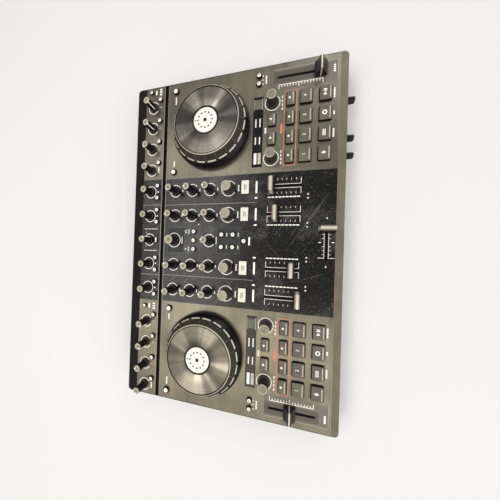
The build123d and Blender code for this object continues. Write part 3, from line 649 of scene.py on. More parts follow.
@dataclass(frozen=True)
class Clouded(Finish):
    """A finish whose colour drifts in clouds from a second tone to the first."""

    second: str
    roughness: float = 0.6
    glow: float = 0.0
    metallic: float = 0.0
    ior: float = 1.5
    cloud: float = 4.0
    detail: float = 3.0
    first_from: float = 0.5
    second_to: float = 0.28

    def sockets(self, add: AddNode, place: Source) -> Sockets:
        """Add the clouds, which also colour the glow of a lit finish.

        Args:
            add: Adds a node to the material's tree.
            place: The Object coordinates.

        Returns:
            What each socket of the shader gets.
        """
        tones = clouds(add, place, self.cloud, self.detail,
                       [(self.second_to, self.second), (self.first_from, self.colour)])
        lit = {"Emission Color": tones} if self.glow else {}
        return {"Base Color": tones, "Roughness": self.roughness, "Metallic": self.metallic, "IOR": self.ior,
                "Emission Strength": self.glow} | lit


@dataclass(frozen=True)
class Ink(Clouded):
    """Screen-printed ink: matt and opaque, a little thin where it has been rubbed."""


@dataclass(frozen=True)
class LitLens(Clouded):
    """Frosted polycarbonate lens over a lit diode: evenly bright, a little warmer at its rim."""

    roughness: float = 0.35
    ior: float = 1.58
    cloud: float = 3.0
    detail: float = 2.0
    first_from: float = 0.6
    second_to: float = 0.3


@dataclass(frozen=True)
class Metal(Clouded):
    """Steel, brass or metallic paint with a faint turned or rolled texture."""

    roughness: float = 0.35
    metallic: float = 1.0
    cloud: float = 0.4
    first_from: float = 0.6
    second_to: float = 0.3


@dataclass(frozen=True)
class MattPaint(Clouded):
    """Matt floor paint: nearly even, with soft clouds where it went on thicker."""

    roughness: float = 0.85
    cloud: float = 1000 / 3
    detail: float = 2.0
    first_from: float = 1.0
    second_to: float = 0.0


@dataclass(frozen=True)
class TwoToneCase(Finish):
    """Black etched ABS whose front bezel is sprayed satin grey, to go with the deck plates."""

    bezel_colour: str
    bezel_light: str
    grain: float = 0.4

    def sockets(self, add: AddNode, place: Source) -> Sockets:
        """Add the paint, which ends in a straight line along the faceplates' front, and the grain.

        Args:
            add: Adds a node to the material's tree.
            place: The Object coordinates.

        Returns:
            What each socket of the shader gets.
        """
        axes = add("SeparateXYZ", {"Vector": place})
        front = add("Math", {0: (axes, "Y"), 1: PLATE_FRONT * MM}, operation="LESS_THAN")
        paint = clouds(add, place, 30.0, 5.0, [(0.35, self.bezel_colour), (0.7, self.bezel_light)])
        colour = add("Mix", {0: (front, "Value"), 6: linear(self.colour), 7: paint}, data_type="RGBA")
        rough = add("MapRange", {"Value": (front, "Value"), "To Min": 0.5, "To Max": 0.38})
        grain = add("TexNoise", {"Vector": place, "Scale": 1 / (self.grain * MM), "Detail": 2.0})
        bump = add("Bump", {"Strength": 0.3, "Distance": 0.02 * MM, "Height": (grain, "Fac")})
        return {"Base Color": (colour, 2), "Roughness": (rough, "Result"), "Normal": (bump, "Normal"),
                "IOR": 1.53, "Specular IOR Level": 0.12}


@dataclass(frozen=True)
class PlatedSocket(Finish):
    """Black nylon socket bodies whose collars and barrels, outside the case walls, are nickel plated."""

    plating: str
    middle: float
    reach: float

    def sockets(self, add: AddNode, place: Source) -> Sockets:
        """Add the plating, which starts where |y - middle| passes the reach.

        Args:
            add: Adds a node to the material's tree.
            place: The Object coordinates.

        Returns:
            What each socket of the shader gets.
        """
        axes = add("SeparateXYZ", {"Vector": place})
        offset = add("Math", {0: (axes, "Y"), 1: self.middle * MM}, operation="SUBTRACT")
        away = add("Math", {0: (offset, "Value")}, operation="ABSOLUTE")
        plated = add("Math", {0: (away, "Value"), 1: self.reach * MM}, operation="GREATER_THAN")
        colour = add("Mix", {0: (plated, "Value"), 6: linear(self.colour), 7: linear(self.plating)},
                     data_type="RGBA")
        rough = add("MapRange", {"Value": (plated, "Value"), "To Min": 0.4, "To Max": 0.28})
        return {"Base Color": (colour, 2), "Roughness": (rough, "Result"), "Metallic": (plated, "Value")}


class Palette:
    """Every finish of the object, made once."""

    def __init__(self) -> None:
        """Make the materials."""
        self.case_black = MouldedPlastic("case_abs_black", "0C0C0B", "151514", sheen=0.15).make()
        self.top_case = TwoToneCase("case_abs_two_tone", "0B0B0A", "6C6757", "7E7866").make()
        self.deck_metal = BrushedAluminium("deck_brushed_aluminium", "67645A", "95917F").make()
        self.mixer_gloss = GlossAcrylic("mixer_gloss_acrylic", "050506", "C9CABD").make()
        self.glass = GlossAcrylic("window_smoked_acrylic", "07080A", "70757A", roughness=0.08).make()
        self.knob_side = MouldedPlastic("knob_abs_black", "0D0D0C", "191816", 0.34, 0.25, sheen=0.3).make()
        self.knob_top = MouldedPlastic("knob_cap_warm_grey", "B1AB96", "C3BDA7", 0.42, 0.3).make()
        self.knob_warm = MouldedPlastic("knob_cap_warm_beige", "9A9580", "ABA690", 0.42, 0.3).make()
        # Darker tone for the dimple of the light caps: painted shade in the hollow.
        self.knob_centre = MouldedPlastic("knob_cap_worn_centre", "807A69", "918B79", 0.5, 0.3).make()
        self.knob_olive = MouldedPlastic("knob_cap_olive_grey", "817E6F", "918D7B", 0.42, 0.3).make()
        self.knob_flank = MouldedPlastic("knob_side_olive_black", "24231D", "3F3C33", 0.4, 0.25).make()
        # Pale grey for the chamfer at the top of each knob's skirt: a painted highlight on that edge.
        self.knob_edge = MouldedPlastic("knob_flange_edge", "4A4842", "5A574F", 0.4, 0.2).make()
        # Near black for the keys' sides: painted shade on the sides.
        self.key_side = MouldedPlastic("key_rubber_dark", "0B0B0A", "141412", 0.6, sheen=0.2).make()
        self.key_top = MouldedPlastic("key_abs_grey", "59564A", "6F6B5B", 0.5, 0.3).make()
        # Pale bar near each key's front edge, with a faint glow: a painted highlight.
        self.key_bar = Ink("key_light_bar", "BDBBAC", "A09D90", glow=0.05).make()
        self.lens = LitLens("button_lens_white", "F4F1E6", "D8D3C4", glow=0.35).make()
        self.lens_key = LitLens("cue_key_lens_warm", "D9D8CB", "C9C8B9", glow=0.28).make()
        self.lens_core = Ink("button_lens_core", "6E6A5F", "5E5A50").make()
        self.lens_sign = Ink("cue_key_sign_grey", "8D8974", "7D7966").make()
        self.collar = MouldedPlastic("button_collar_black", "090909", "141413", 0.3).make()
        # White print, given a glow of its own: a painted glow.
        self.white_ink = Ink("print_white", "F2F0E8", "D9D6CB", glow=0.3).make()
        # Pale grey print with a faint painted glow.
        self.pale_ink = Ink("print_pale_grey", "C6C2B5", "A8A497", glow=0.1).make()
        self.blue_ink = Ink("print_slate_grey", "262E30", "1F2628").make()
        # Orange print with a faint painted glow.
        self.orange_ink = Ink("print_orange_red", "E0826B", "D0745E", glow=0.1).make()
        self.panel_ink = Metal("print_panel_grey", "7B776C", "706C62", 0.5, metallic=0.4).make()
        self.dark_ink = Metal("print_panel_dark", "646157", "5A574E", 0.5, metallic=0.4).make()
        # Pale satin lines: print between the channels, and painted highlights along the plates' edges.
        self.line_light = Metal("trim_line_satin", "9A978B", "858276", 0.4, metallic=0.6).make()
        self.fader_grey = Metal("fader_metallic_paint", "958D79", "7B7463", 0.4, metallic=0.5).make()
        # Near white for the crest of the fader caps' metal strip: a painted highlight.
        self.fader_crest = Metal("fader_polished_crest", "F1EDDF", "DAD5C4", 0.3, metallic=0.45).make()
        self.jog_grip = MouldedPlastic("jog_grip_rubber", "2B281F", "373329", 0.62, 0.8, 0.06, 0.25).make()
        self.seam = Ink("jog_grip_seam", "625E50", "545043").make()
        self.dash_ink = Ink("jog_dash_print", "CFCBB6", "B0AC98").make()
        self.jog_black = MouldedPlastic("jog_rim_abs_black", "090908", "121211", 0.3, sheen=0.25).make()
        # Pale for the rounded top edge of the jog skirt, so that it shows lit all round: a painted highlight.
        self.jog_edge = Metal("jog_edge_polished", "C6C2AF", "B2AE9C", 0.4, metallic=0.35).make()
        # White label on the jog with a faint painted glow.
        self.jog_label = Ink("jog_label_white", "F2F0E8", "E4E1D6", glow=0.1).make()
        self.lcd = Ink("display_glass_green_grey", "666B5A", "5A5F50", glow=0.1).make()
        self.board = MouldedPlastic("board_solder_mask", "10231A", "183024", 0.3).make()
        self.rubber = MouldedPlastic("foot_rubber", "141414", "202020", 0.8, 0.5).make()
        self.steel = Metal("spindle_steel", "B5B5B2", "8F8F8C").make()
        self.screw = Metal("screw_blackened_steel", "3A3A3C", "28282A", 0.45).make()
        self.brass = Metal("slider_rail_brass", "B49A4A", "8A7434", 0.3).make()
        # Near black: the felt of the fader slots, and the painted shade of the gaps round the keys.
        self.felt = Ink("slot_felt_black", "060606", "0B0B0B").make()
        walls = node_box("bottom_case")
        self.socket = PlatedSocket("socket_nylon_and_nickel", "151515", "C4C2BC", walls.centre[1],
                                   walls.size[1] / 2 + 0.15).make()


# -------------------- printed marks
class PrintSheet:
    """Flat printed marks on one surface, collected into one piece. A mark's x and y are its middle."""

    def __init__(self, top: float) -> None:
        """Start a sheet on a surface.

        Args:
            top: Height of the surface.
        """
        self.low = top - INK_ROOT
        self.high = top + INK_HEIGHT
        self.stack = MeshStack()

    def outline(self, points: np.ndarray) -> None:
        """Add a prism over a convex outline of (x, y) points, anticlockwise."""
        self.stack.closed_rings(prism_rings(points, self.low, self.high))

    def ribbon(self, path: np.ndarray, width: float) -> None:
        """Add a stroke of one width along a path of (x, y) points."""
        self.stack.closed_rings(ribbon_rings(path, width, self.low, self.high))

    def bar(self, x: float, y: float, width: float, depth: float, corner: Optional[float] = None) -> None:
        """Add a bar; its corner radius is three tenths of the shorter side if left out."""
        corner = min(width, depth) * 0.3 if corner is None else corner
        levels = np.array([[width / 2, depth / 2, corner, z] for z in (self.low, self.high)])
        self.stack.closed_rings(rounded_rings(levels, (x * MM, y * MM), steps=3))

    def dot(self, x: float, y: float, radius: float, sides: int = 16) -> None:
        """Add a round dot: x + r cos u, y + r sin u."""
        angle = round_angles(sides)
        self.outline(np.stack([x + radius * np.cos(angle), y + radius * np.sin(angle)], axis=-1))

    def triangle(self, x: float, y: float, size: float, turn: float = 0.0) -> None:
        """Add a triangle that points along its turn, in degrees from +x."""
        angle = np.radians(np.array([0, 120, 240]) + turn)
        self.outline(np.stack([x + size * np.cos(angle), y + size * np.sin(angle)], axis=-1))

    def line(self, points: Points, width: float) -> None:
        """Add straight strokes from point to point."""
        for start, end in zip(points[:-1], points[1:]):
            self.ribbon(np.array([start, end]), width)

    def arc(self, x: float, y: float, radius: float, width: float, start: float, sweep: float,
            steps: int = 48) -> None:
        """Add an arc, a ribbon along x + r cos u, y + r sin u, with its angles in degrees from +x."""
        angle = np.radians(np.linspace(start, start + sweep, steps))
        self.ribbon(np.stack([x + radius * np.cos(angle), y + radius * np.sin(angle)], axis=-1), width)

    def ring(self, x: float, y: float, radius: float, width: float, steps: int = 48) -> None:
        """Add a whole ring, a box section turned about its centre."""
        outer, inner = radius + width / 2, radius - width / 2
        section = np.array([[outer, self.high], [inner, self.high], [inner, self.low], [outer, self.low]])
        self.stack.tube_ring(section, (x * MM, y * MM), steps)

    def frame_line(self, x: float, y: float, width: float, depth: float, stroke: float) -> None:
        """Add the outline of a rectangle, as four strokes that meet at its corners.

        Args:
            x: Its middle.
            y: Its middle.
            width: Its size along x.
            depth: Its size along y.
            stroke: Width of the strokes.
        """
        a, b = width / 2, depth / 2
        for side in (-1, 1):
            self.line([(x - a - stroke / 2, y + side * b), (x + a + stroke / 2, y + side * b)], stroke)
            self.line([(x + side * a, y - b + stroke / 2), (x + side * a, y + b - stroke / 2)], stroke)

    def round_frame(self, x: float, y: float, width: float, depth: float, stroke: float,
                    corner: float) -> None:
        """Add the outline of a rectangle with quarter circles at its corners.

        Its two ends meet in the middle of the front side.

        Args:
            x: Its middle.
            y: Its middle.
            width: Its size along x.
            depth: Its size along y.
            stroke: Width of the stroke.
            corner: Radius of the corners.
        """
        angle = np.radians(np.linspace(-90, 270, 4, endpoint=False)[:, None] + np.linspace(0, 90, 7))
        side_x, side_y = (np.array(sides)[:, None] for sides in ((1, 1, -1, -1), (-1, 1, 1, -1)))
        corners = np.stack([side_x * (width / 2 - corner) + corner * np.cos(angle),
                            side_y * (depth / 2 - corner) + corner * np.sin(angle)], axis=-1)
        end = np.array([[0.0, -depth / 2]])
        self.ribbon(np.concatenate([end, corners.reshape(-1, 2), end]) + np.array([x, y]), stroke)

    def panel(self, x: float, y: float, width: float, depth: float,
              hole: tuple[float, float, float, float]) -> None:
        """Add a sharp panel round a hole.

        Args:
            x: Middle of the panel.
            y: Middle of the panel.
            width: Its size along x.
            depth: Its size along y.
            hole: The hole's left, front, right and rear edges, inside the panel.
        """
        left, front, right, rear = hole
        low_x, high_x, low_y, high_y = x - width / 2, x + width / 2, y - depth / 2, y + depth / 2
        for x0, y0, x1, y1 in ((low_x, low_y, left, high_y), (right, low_y, high_x, high_y),
                               (left, low_y, right, front), (left, rear, right, high_y)):
            self.bar((x0 + x1) / 2, (y0 + y1) / 2, x1 - x0, y1 - y0, 0.01)

    def words(self, x: float, y: float, width: float, depth: float, gap: int = 0) -> None:
        """Add a run of short dashes, which stands where a caption would be.

        Args:
            x: Its middle.
            y: Its middle.
            width: Length of the run.
            depth: Height of the dashes; their pitch is a little less.
            gap: With a gap, each dash of that number is left out.
        """
        count = max(1, round(width / (depth * 0.95)))
        step = width / count
        for i in range(count):
            if not gap or i % gap != gap - 1:
                self.bar(x - width / 2 + (i + 0.5) * step, y, step * 0.8, depth)

    def number(self, x: float, y: float, text: str, size: float) -> None:
        """Add a plain digit from Blender's own font, made a mesh before it is put in its place.

        Args:
            x: Its middle.
            y: Its middle.
            text: The digit.
            size: Its size.
        """
        curve = bpy.data.curves.new("digit", "FONT")
        curve.body = text
        curve.size = size * MM
        curve.extrude = (self.high - self.low) / 2 * MM
        curve.resolution_u = 3
        carrier = bpy.data.objects.new("digit", curve)
        bpy.context.scene.collection.objects.link(carrier)
        bpy.context.view_layer.update()
        mesh = bpy.data.meshes.new_from_object(carrier)
        points = np.empty(len(mesh.vertices) * 3)
        mesh.vertices.foreach_get("co", points)
        points = points.reshape(-1, 3)
        middle = (points.min(axis=0) + points.max(axis=0)) / 2
        place = np.array([x * MM, y * MM, (self.low + self.high) / 2 * MM])
        self.stack.add(points - middle + place, [list(face.vertices) for face in mesh.polygons])
        bpy.data.objects.remove(carrier)
        bpy.data.curves.remove(curve)
        bpy.data.meshes.remove(mesh)

    def build(self, name: str, material: Material, body: str = STATIC_BODY, slot: str = "lit_white") -> None:
        """Make the piece."""
        self.stack.build(name, [material], body, slot)


# -------------------- knobs
class Scale(Enum):
    """The printed scale round a knob."""

    STOPPED = "stopped"    # an arc with a gap to the front, round a knob with a pointer
    ENDLESS = "endless"    # a whole ring, round a knob without one


class Cap(Enum):
    """The finish of a knob's top."""

    # The light caps' dimple is painted darker, as shade in the hollow.
    WORN = "worn"          # light, with a darker dimple
    # The light rim of the warm and olive caps is a painted highlight.
    WARM = "warm"          # beige with a light rim
    OLIVE = "olive"        # olive grey with a light rim


class KnobSlot(IntEnum):
    """The material slots of a knob."""

    GRIP = 0
    TOP = 1
    POINTER = 2
    CENTRE = 3
    EDGE = 4
    RIM = 5


def fluted(weight: Sequence[float], flutes: int, depth: float, segments: int) -> np.ndarray:
    """Factor on a fluted grip's radius: 1 - d w(v) max(0, cos n u), with w a weight for each ring."""
    wave = np.clip(np.cos(flutes * round_angles(segments)[None, :]), 0, None)
    return 1 - depth * np.array(weight)[:, None] * wave


@dataclass(frozen=True)
class KnobForm:
    """A knob with a skirt, a fluted grip that tapers, and a dished top disc."""

    top_radius: float
    flutes: int
    scale: Scale
    ring_radius: float = 9.3
    dimple: float = 0.42
    cap: Cap = Cap.WORN
    skirt_height: float = 2.3
    neck_inset: float = 1.4
    flute_depth: float = 0.06
    flute_fade: tuple[float, ...] = (0.3, 1, 1, 1, 1, 1, 0.3)
    segments: int = 96
    air_gap: float = 0.6
    pointer_width: float = 1.15
    pointer_proud: float = 0.2
    pointer_root: float = 0.3

    def profile(self, foot: float, low: float, high: float) -> tuple[np.ndarray, list[int], list[float]]:
        """Work out the knob's profile from its foot to the middle of its top.

        Args:
            foot: Radius of the skirt.
            low: Height of the underside.
            high: Height of the top.

        Returns:
            (radius, height) of each ring, the slot of each band and the flute weight of each ring.
        """
        neck, top, dimple = foot - self.neck_inset, self.top_radius, self.top_radius * self.dimple
        start = low + self.skirt_height
        steps = len(self.flute_fade)
        skirt = [(foot - 0.35, low), (foot, low + 0.3), (foot, start - 0.5), (foot - 0.35, start),
                 (neck + 0.12, start + 0.12)]
        grip = list(zip(np.linspace(neck, top + 0.3, steps), np.linspace(start + 0.5, high - 0.9, steps)))
        rim = [(top + 0.24, high - 0.45), (top + 0.02, high - 0.12), (top - 0.3, high), (top - 0.75, high)]
        dish = [(top - 0.95, high - 0.16), (dimple + 0.5, high - 0.2), (dimple, high - 0.5),
                (top * 0.12, high - 0.6)]
        # The chamfer at the top of the skirt is painted pale grey, as a highlight.
        slots = [KnobSlot.GRIP] * 2 + [KnobSlot.EDGE] + [KnobSlot.GRIP] * (len(skirt) + steps - 3)
        # The rim bands take the paler grey of the light caps, a painted highlight on warm and olive caps.
        slots += [KnobSlot.RIM] * len(rim) + [KnobSlot.TOP]
        # The dimple takes a darker finish, painted shade, where the cap has one.
        slots += [KnobSlot.CENTRE if self.dimple else KnobSlot.TOP] * 2
        weight = [0.0] * len(skirt) + list(self.flute_fade) + [0.0] * len(rim + dish)
        return np.array(skirt + grip + rim + dish), slots, weight

    def add_pointer(self, stack: MeshStack, centre: Sequence[float], rings: np.ndarray, turn: float) -> None:
        """Add the pointer: a flat bar carried along the profile, over the top's edge and down the grip.

        Args:
            stack: The knob's stack.
            centre: x and y of the knob's axis, in metres.
            rings: The knob's profile.
            turn: Turn of the pointer to the left of the back, in degrees.
        """
        line = rings[4:][::-1]
        line = line[line[:, 0] >= self.top_radius * 0.5]
        outward = -right_of(line)
        half = self.pointer_width / 2
        rows = []
        for side, proud in ((-half, self.pointer_proud), (half, self.pointer_proud),
                            (half, -self.pointer_root), (-half, -self.pointer_root)):
            edge = line + outward * proud
            rows.append(np.stack([np.full(len(line), side), edge[:, 0], edge[:, 1]], axis=-1))
        across, ahead, height = np.moveaxis(np.stack(rows, axis=1), -1, 0)
        c, s = math.cos(math.radians(turn)), math.sin(math.radians(turn))
        bar = np.stack([centre[0] + (across * c - ahead * s) * MM, centre[1] + (across * s + ahead * c) * MM,
                        height * MM], axis=-1)
        stack.closed_rings(bar, [KnobSlot.POINTER] * (len(line) - 1))

    def build(self, node: str, turn: float, palette: Palette) -> None:
        """Make the knob that stands for a node.

        Args:
            node: The knob's node, which is also its body.
            turn: Turn of its pointer to the left of the back, in degrees; an endless knob has none.
            palette: The finishes.
        """
        box = node_box(node)
        rings, slots, weight = self.profile(box.size[0] / 2, PLATE_TOP + self.air_gap, box.high[2])
        shape = fluted(weight, self.flutes, self.flute_depth, self.segments)
        centre = box.centre[:2] * MM
        stack = MeshStack()
        stack.closed_rings(turned_rings(rings, centre, self.segments, shape), slots)
        if self.scale is Scale.STOPPED:
            self.add_pointer(stack, centre, rings, turn)
        tops = {Cap.WORN: palette.knob_top, Cap.WARM: palette.knob_warm, Cap.OLIVE: palette.knob_olive}
        grip = palette.knob_side if self.cap is Cap.WORN else palette.knob_flank
        dress = {KnobSlot.GRIP: grip, KnobSlot.TOP: tops[self.cap], KnobSlot.POINTER: palette.white_ink,
                 KnobSlot.CENTRE: palette.knob_centre, KnobSlot.EDGE: palette.knob_edge,
                 KnobSlot.RIM: palette.knob_top}
        piece = stack.build(f"{node}_cap", [dress[slot] for slot in KnobSlot], node, "knob_black")
        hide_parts(node)


@dataclass(frozen=True)
class FrontKnob:
    """A small knob on the front face, turned about a line that runs to the front."""

    segments: int = 48
    flutes: int = 16
    flute_depth: float = 0.05
    wall_gap: float = 0.6
    nose_length: float = 2.0

    def build(self, node: str, palette: Palette) -> None:
        """Make the knob: its rings stand on the line, at x + r cos u and z + r sin u, and step to the front.

        Args:
            node: The knob's node, which is also its body.
            palette: The finishes.
        """
        box = node_box(node)
        radius = box.size[0] / 2
        nose = box.low[1]
        back = node_box("bottom_case").low[1] - self.wall_gap
        steps = np.array([(radius - 0.3, back), (radius, back - 0.3), (radius - 0.1, nose + self.nose_length),
                          (radius - 0.25, nose + 0.7), (radius - 0.8, nose), (radius - 1.3, nose),
                          (radius - 1.5, nose + 0.3), (0.6, nose + 0.3)])
        angle = round_angles(self.segments)[None, :]
        weight = [0, 1, 1, 0.4, 0, 0, 0, 0]
        reach = steps[:, :1] * fluted(weight, self.flutes, self.flute_depth, self.segments)
        x = box.centre[0] + reach * np.cos(angle)
        y = np.broadcast_to(steps[:, 1:], reach.shape)
        z = box.centre[2] + reach * np.sin(angle)
        stack = MeshStack()
        stack.closed_rings(np.stack([x, y, z], axis=-1) * MM, [0] * 5 + [1] * 2)
        piece = stack.build(f"{node}_cap", [palette.knob_side, palette.knob_top], node, "knob_black")
        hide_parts(node)


@dataclass
class KnobBank:
    """All the knobs, with the scales printed round those on the faceplates."""

    palette: Palette
    ink_width: float = 1.05
    scale_start: float = -57.0
    scale_sweep: float = 294.0

    tone = KnobForm(top_radius=4.7, flutes=18, scale=Scale.STOPPED)
    gain = KnobForm(top_radius=4.7, flutes=18, scale=Scale.ENDLESS)
    filter = KnobForm(top_radius=7.0, flutes=24, scale=Scale.STOPPED, ring_radius=11.0, dimple=0.0,
                      cap=Cap.WARM)
    loop = KnobForm(top_radius=6.4, flutes=22, scale=Scale.ENDLESS, ring_radius=10.5, dimple=0.0,
                    cap=Cap.OLIVE, flute_depth=0.1)
    browse = KnobForm(top_radius=6.5, flutes=22, scale=Scale.ENDLESS, ring_radius=11.0)

    # where the pointers are left standing, in degrees to the left of the back
    turns = {"left_effect": (75, 0, 135, 135), "right_effect": (-135, 60, 138, 135), "low": (0, -21, 38, -10),
             "mid": (-55, -65, 45, 0), "high": (-7, -37, 20, 57), "filter": (-9, 17, 6, 32)}
    main_level_turn = -130

    def knobs(self) -> list[tuple[str, KnobForm, float]]:
        """List the knobs of the faceplates.

        Returns:
            Node, form and pointer turn of each knob.
        """
        rows = (("left_effect", self.tone), ("right_effect", self.tone), ("gain", self.gain),
                ("low", self.tone), ("mid", self.tone), ("high", self.tone), ("filter", self.filter))
        found = [(f"{row}_knob_{i + 1}", form, self.turns.get(row, (0,) * 4)[i]) for i in range(4)
                 for row, form in rows]
        found += [("main_level_knob", self.tone, self.main_level_turn), ("blend_knob", self.tone, 0),
                  ("browse_knob", self.browse, 0)]
        found += [(f"{side.word}_loop_{job}_knob", self.loop, 0) for side in Side
                  for job in ("move", "size")]
        return found

    def build(self) -> None:
        """Make the knobs and their scales."""
        scales = PrintSheet(PLATE_TOP)
        for node, form, turn in self.knobs():
            form.build(node, turn, self.palette)
            x, y = node_box(node).centre[:2]
            if form.scale is Scale.STOPPED:
                scales.arc(x, y, form.ring_radius, self.ink_width, self.scale_start, self.scale_sweep)
            else:
                scales.ring(x, y, form.ring_radius, self.ink_width)
        scales.build("knob_scales", self.palette.white_ink)
        for node in ("phones_mix_knob", "phones_level_knob", "microphone_level_knob"):
            FrontKnob().build(node, self.palette)


# -------------------- faders
class Axis(Enum):
    """The axis that a fader slides along."""

    X = 0
    Y = 1


@dataclass(frozen=True)
class FaderCap:
    """A black cap with a ribbed, waisted section, and a metal strip over its top and down its ends.

    The section is a closed outline (y, z), symmetrical about y = 0, and is carried along x. The
    half width is b - k z, so the ends lean in.
    """

    top_width: float
    ridge: float
    strip_top: float
    strip_foot: float
    foot: float = 3.0
    rib: float = 0.22
    ribs: int = 3
    inset: float = 0.5
    crest: float = 0.28
    crest_share: float = 0.5
    strip_share: float = 0.94
    bend_radius: float = 0.9
    air_gap: float = 0.6

    def section(self, depth: float, height: float) -> np.ndarray:
        """Outline of the black body: from the front foot, up, over and down to the back foot.

        With s the share of the height over the foot, the half depth is b + (a - b) sin(s pi/2)^0.8
        + r |sin(n s pi)|, where b and a are its values at the foot and the ridge, r is the ribs'
        depth and n their number.

        Args:
            depth: Depth over the feet.
            height: Height of the body.

        Returns:
            Points (y, z).
        """
        half = depth / 2
        ridge = self.ridge - 0.15
        rise = np.linspace(0, 1, 4 * self.ribs + 1)
        z = self.foot + rise * (height - self.foot - 0.5)
        waist = half + (ridge - half) * np.sin(rise * math.pi / 2) ** 0.8
        flank = np.stack([waist + self.rib * np.abs(np.sin(rise * math.pi * self.ribs)), z], axis=-1)
        foot = [(half - 0.4, 0.0), (half, 0.4), (half, self.foot - 0.3)]
        side = np.concatenate([foot, flank, [(ridge - 0.4, height), (0.0, height)]])
        return np.concatenate([side, side[:-1][::-1] * np.array([-1, 1])])

    def body(self, width: float, depth: float, height: float) -> np.ndarray:
        """Rings of the black body: its section at stations along x, drawn in a little at both ends.

        Args:
            width: Length over the feet.
            depth: Depth over the feet.
            height: Height of the cap.

        Returns:
            One ring of points (x, y, z) for each station.
        """
        outline = self.section(depth, height - self.inset)
        lean = (width - self.top_width) / 2 / height
        middle = np.array([0.0, height * 0.45])
        stations = ((-1.0, 0.86, 0.02), (-1.0, 0.95, 0.0), (-0.985, 1.0, 0.0), (0.985, 1.0, 0.0),
                    (1.0, 0.95, 0.0), (1.0, 0.86, 0.02))
        rings = []
        for station, scale, back in stations:
            y, z = (middle + (outline - middle) * scale).T
            rings.append(np.stack([station * (width / 2 - self.inset - lean * z - back), y, z], axis=-1))
        return np.stack(rings)

    def strip(self, width: float, height: float, cross: Points) -> np.ndarray:
        """Rings of a metal strip: up one end, over the top and down the other end.

        The path is the cap's outline in (x, z). With s the share of the height, the strip's half
        depth is t + (f - t) (1 - s)^2, where t and f are its half depths at the top and the foot.

        Args:
            width: The cap's length over its feet.
            height: The cap's height.
            cross: The strip's cross-section, as shares of the half depth and heights over the path.

        Returns:
            One ring of points (x, y, z) for each place on the path.
        """
        reach, top, high = width / 2 - self.crest, self.top_width / 2 - self.crest, height - self.crest
        rise = np.linspace(0.06, 1, 9)
        bend = np.radians(np.linspace(10, 80, 5))
        corner = self.bend_radius
        up = np.stack([reach + (top - reach) * rise, (high - corner) * rise], axis=-1)
        turn = np.stack([top - corner + corner * np.cos(bend), high - corner + corner * np.sin(bend)],
                        axis=-1)
        half_path = np.concatenate([up, turn, [(top - corner, high)]])
        path = np.concatenate([half_path, half_path[::-1] * np.array([-1, 1])])
        outward = right_of(path)
        half = self.strip_top + (self.strip_foot - self.strip_top) * (1 - path[:, 1] / high) ** 2
        rows = []
        for share, proud in cross:
            edge = path + outward * proud
            rows.append(np.stack([edge[:, 0], share * half, edge[:, 1]], axis=-1))
        return np.stack(rows, axis=1)

    def build(self, node: str, palette: Palette, along: Axis) -> None:
        """Make the cap that stands for a node.

        Args:
            node: The cap's node, which is also its body.
            palette: The finishes.
            along: The axis of the fader's travel.
        """
        box = node_box(node)
        width, depth = box.size[:2] if along is Axis.Y else box.size[1::-1]
        low = PLATE_TOP + self.air_gap
        height = box.high[2] - low
        edge, inner, crest = self.strip_share, self.crest_share, self.crest
        flanks = self.strip(width, height, ((-1, -0.5), (-1, -0.05), (-edge, 0), (edge, 0), (1, -0.05),
                                            (1, -0.5)))
        ridge = self.strip(width, height, ((-inner, -0.2), (-inner, 0.02), (0.1 - inner, crest),
                                           (inner - 0.1, crest), (inner, 0.02), (inner, -0.2)))
        stack = MeshStack()
        for slot, rings in enumerate((self.body(width, depth, height), flanks, ridge)):
            if along is Axis.X:
                rings = np.stack([-rings[..., 1], rings[..., 0], rings[..., 2]], axis=-1)
            rings = rings + np.array([box.centre[0], box.centre[1], low])
            stack.closed_rings(rings * MM, [slot] * (len(rings) - 1))
        # The crest down the middle of the strip is painted near white, as a highlight.
        dress = [palette.knob_side, palette.fader_grey, palette.fader_crest]
        piece = stack.build(f"{node}_grip", dress, node, "knob_black", sharp_degrees=28)
        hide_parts(node)


@dataclass(frozen=True)
class Slot:
    """The slot of a fader, by its middle, half the travel and the axis it runs along."""

    x: float
    y: float
    half: float
    along: Axis

    @classmethod
    def of(cls, node: str) -> "Slot":
        """Read the slot of a fader from its joint.

        Args:
            node: The fader cap's node.

        Returns:
            The slot.
        """
        joint = next(j for j in frame["joints"] if j["child"] == node)
        low, high = (value / MM for value in joint["range_m"])
        middle, half = (low + high) / 2, (high - low) / 2
        x, y = node_box(node).centre[:2]
        if abs(joint["axis"][0]) > 0.5:
            return cls(x + middle, y, half, Axis.X)
        return cls(x, y + middle, half, Axis.Y)


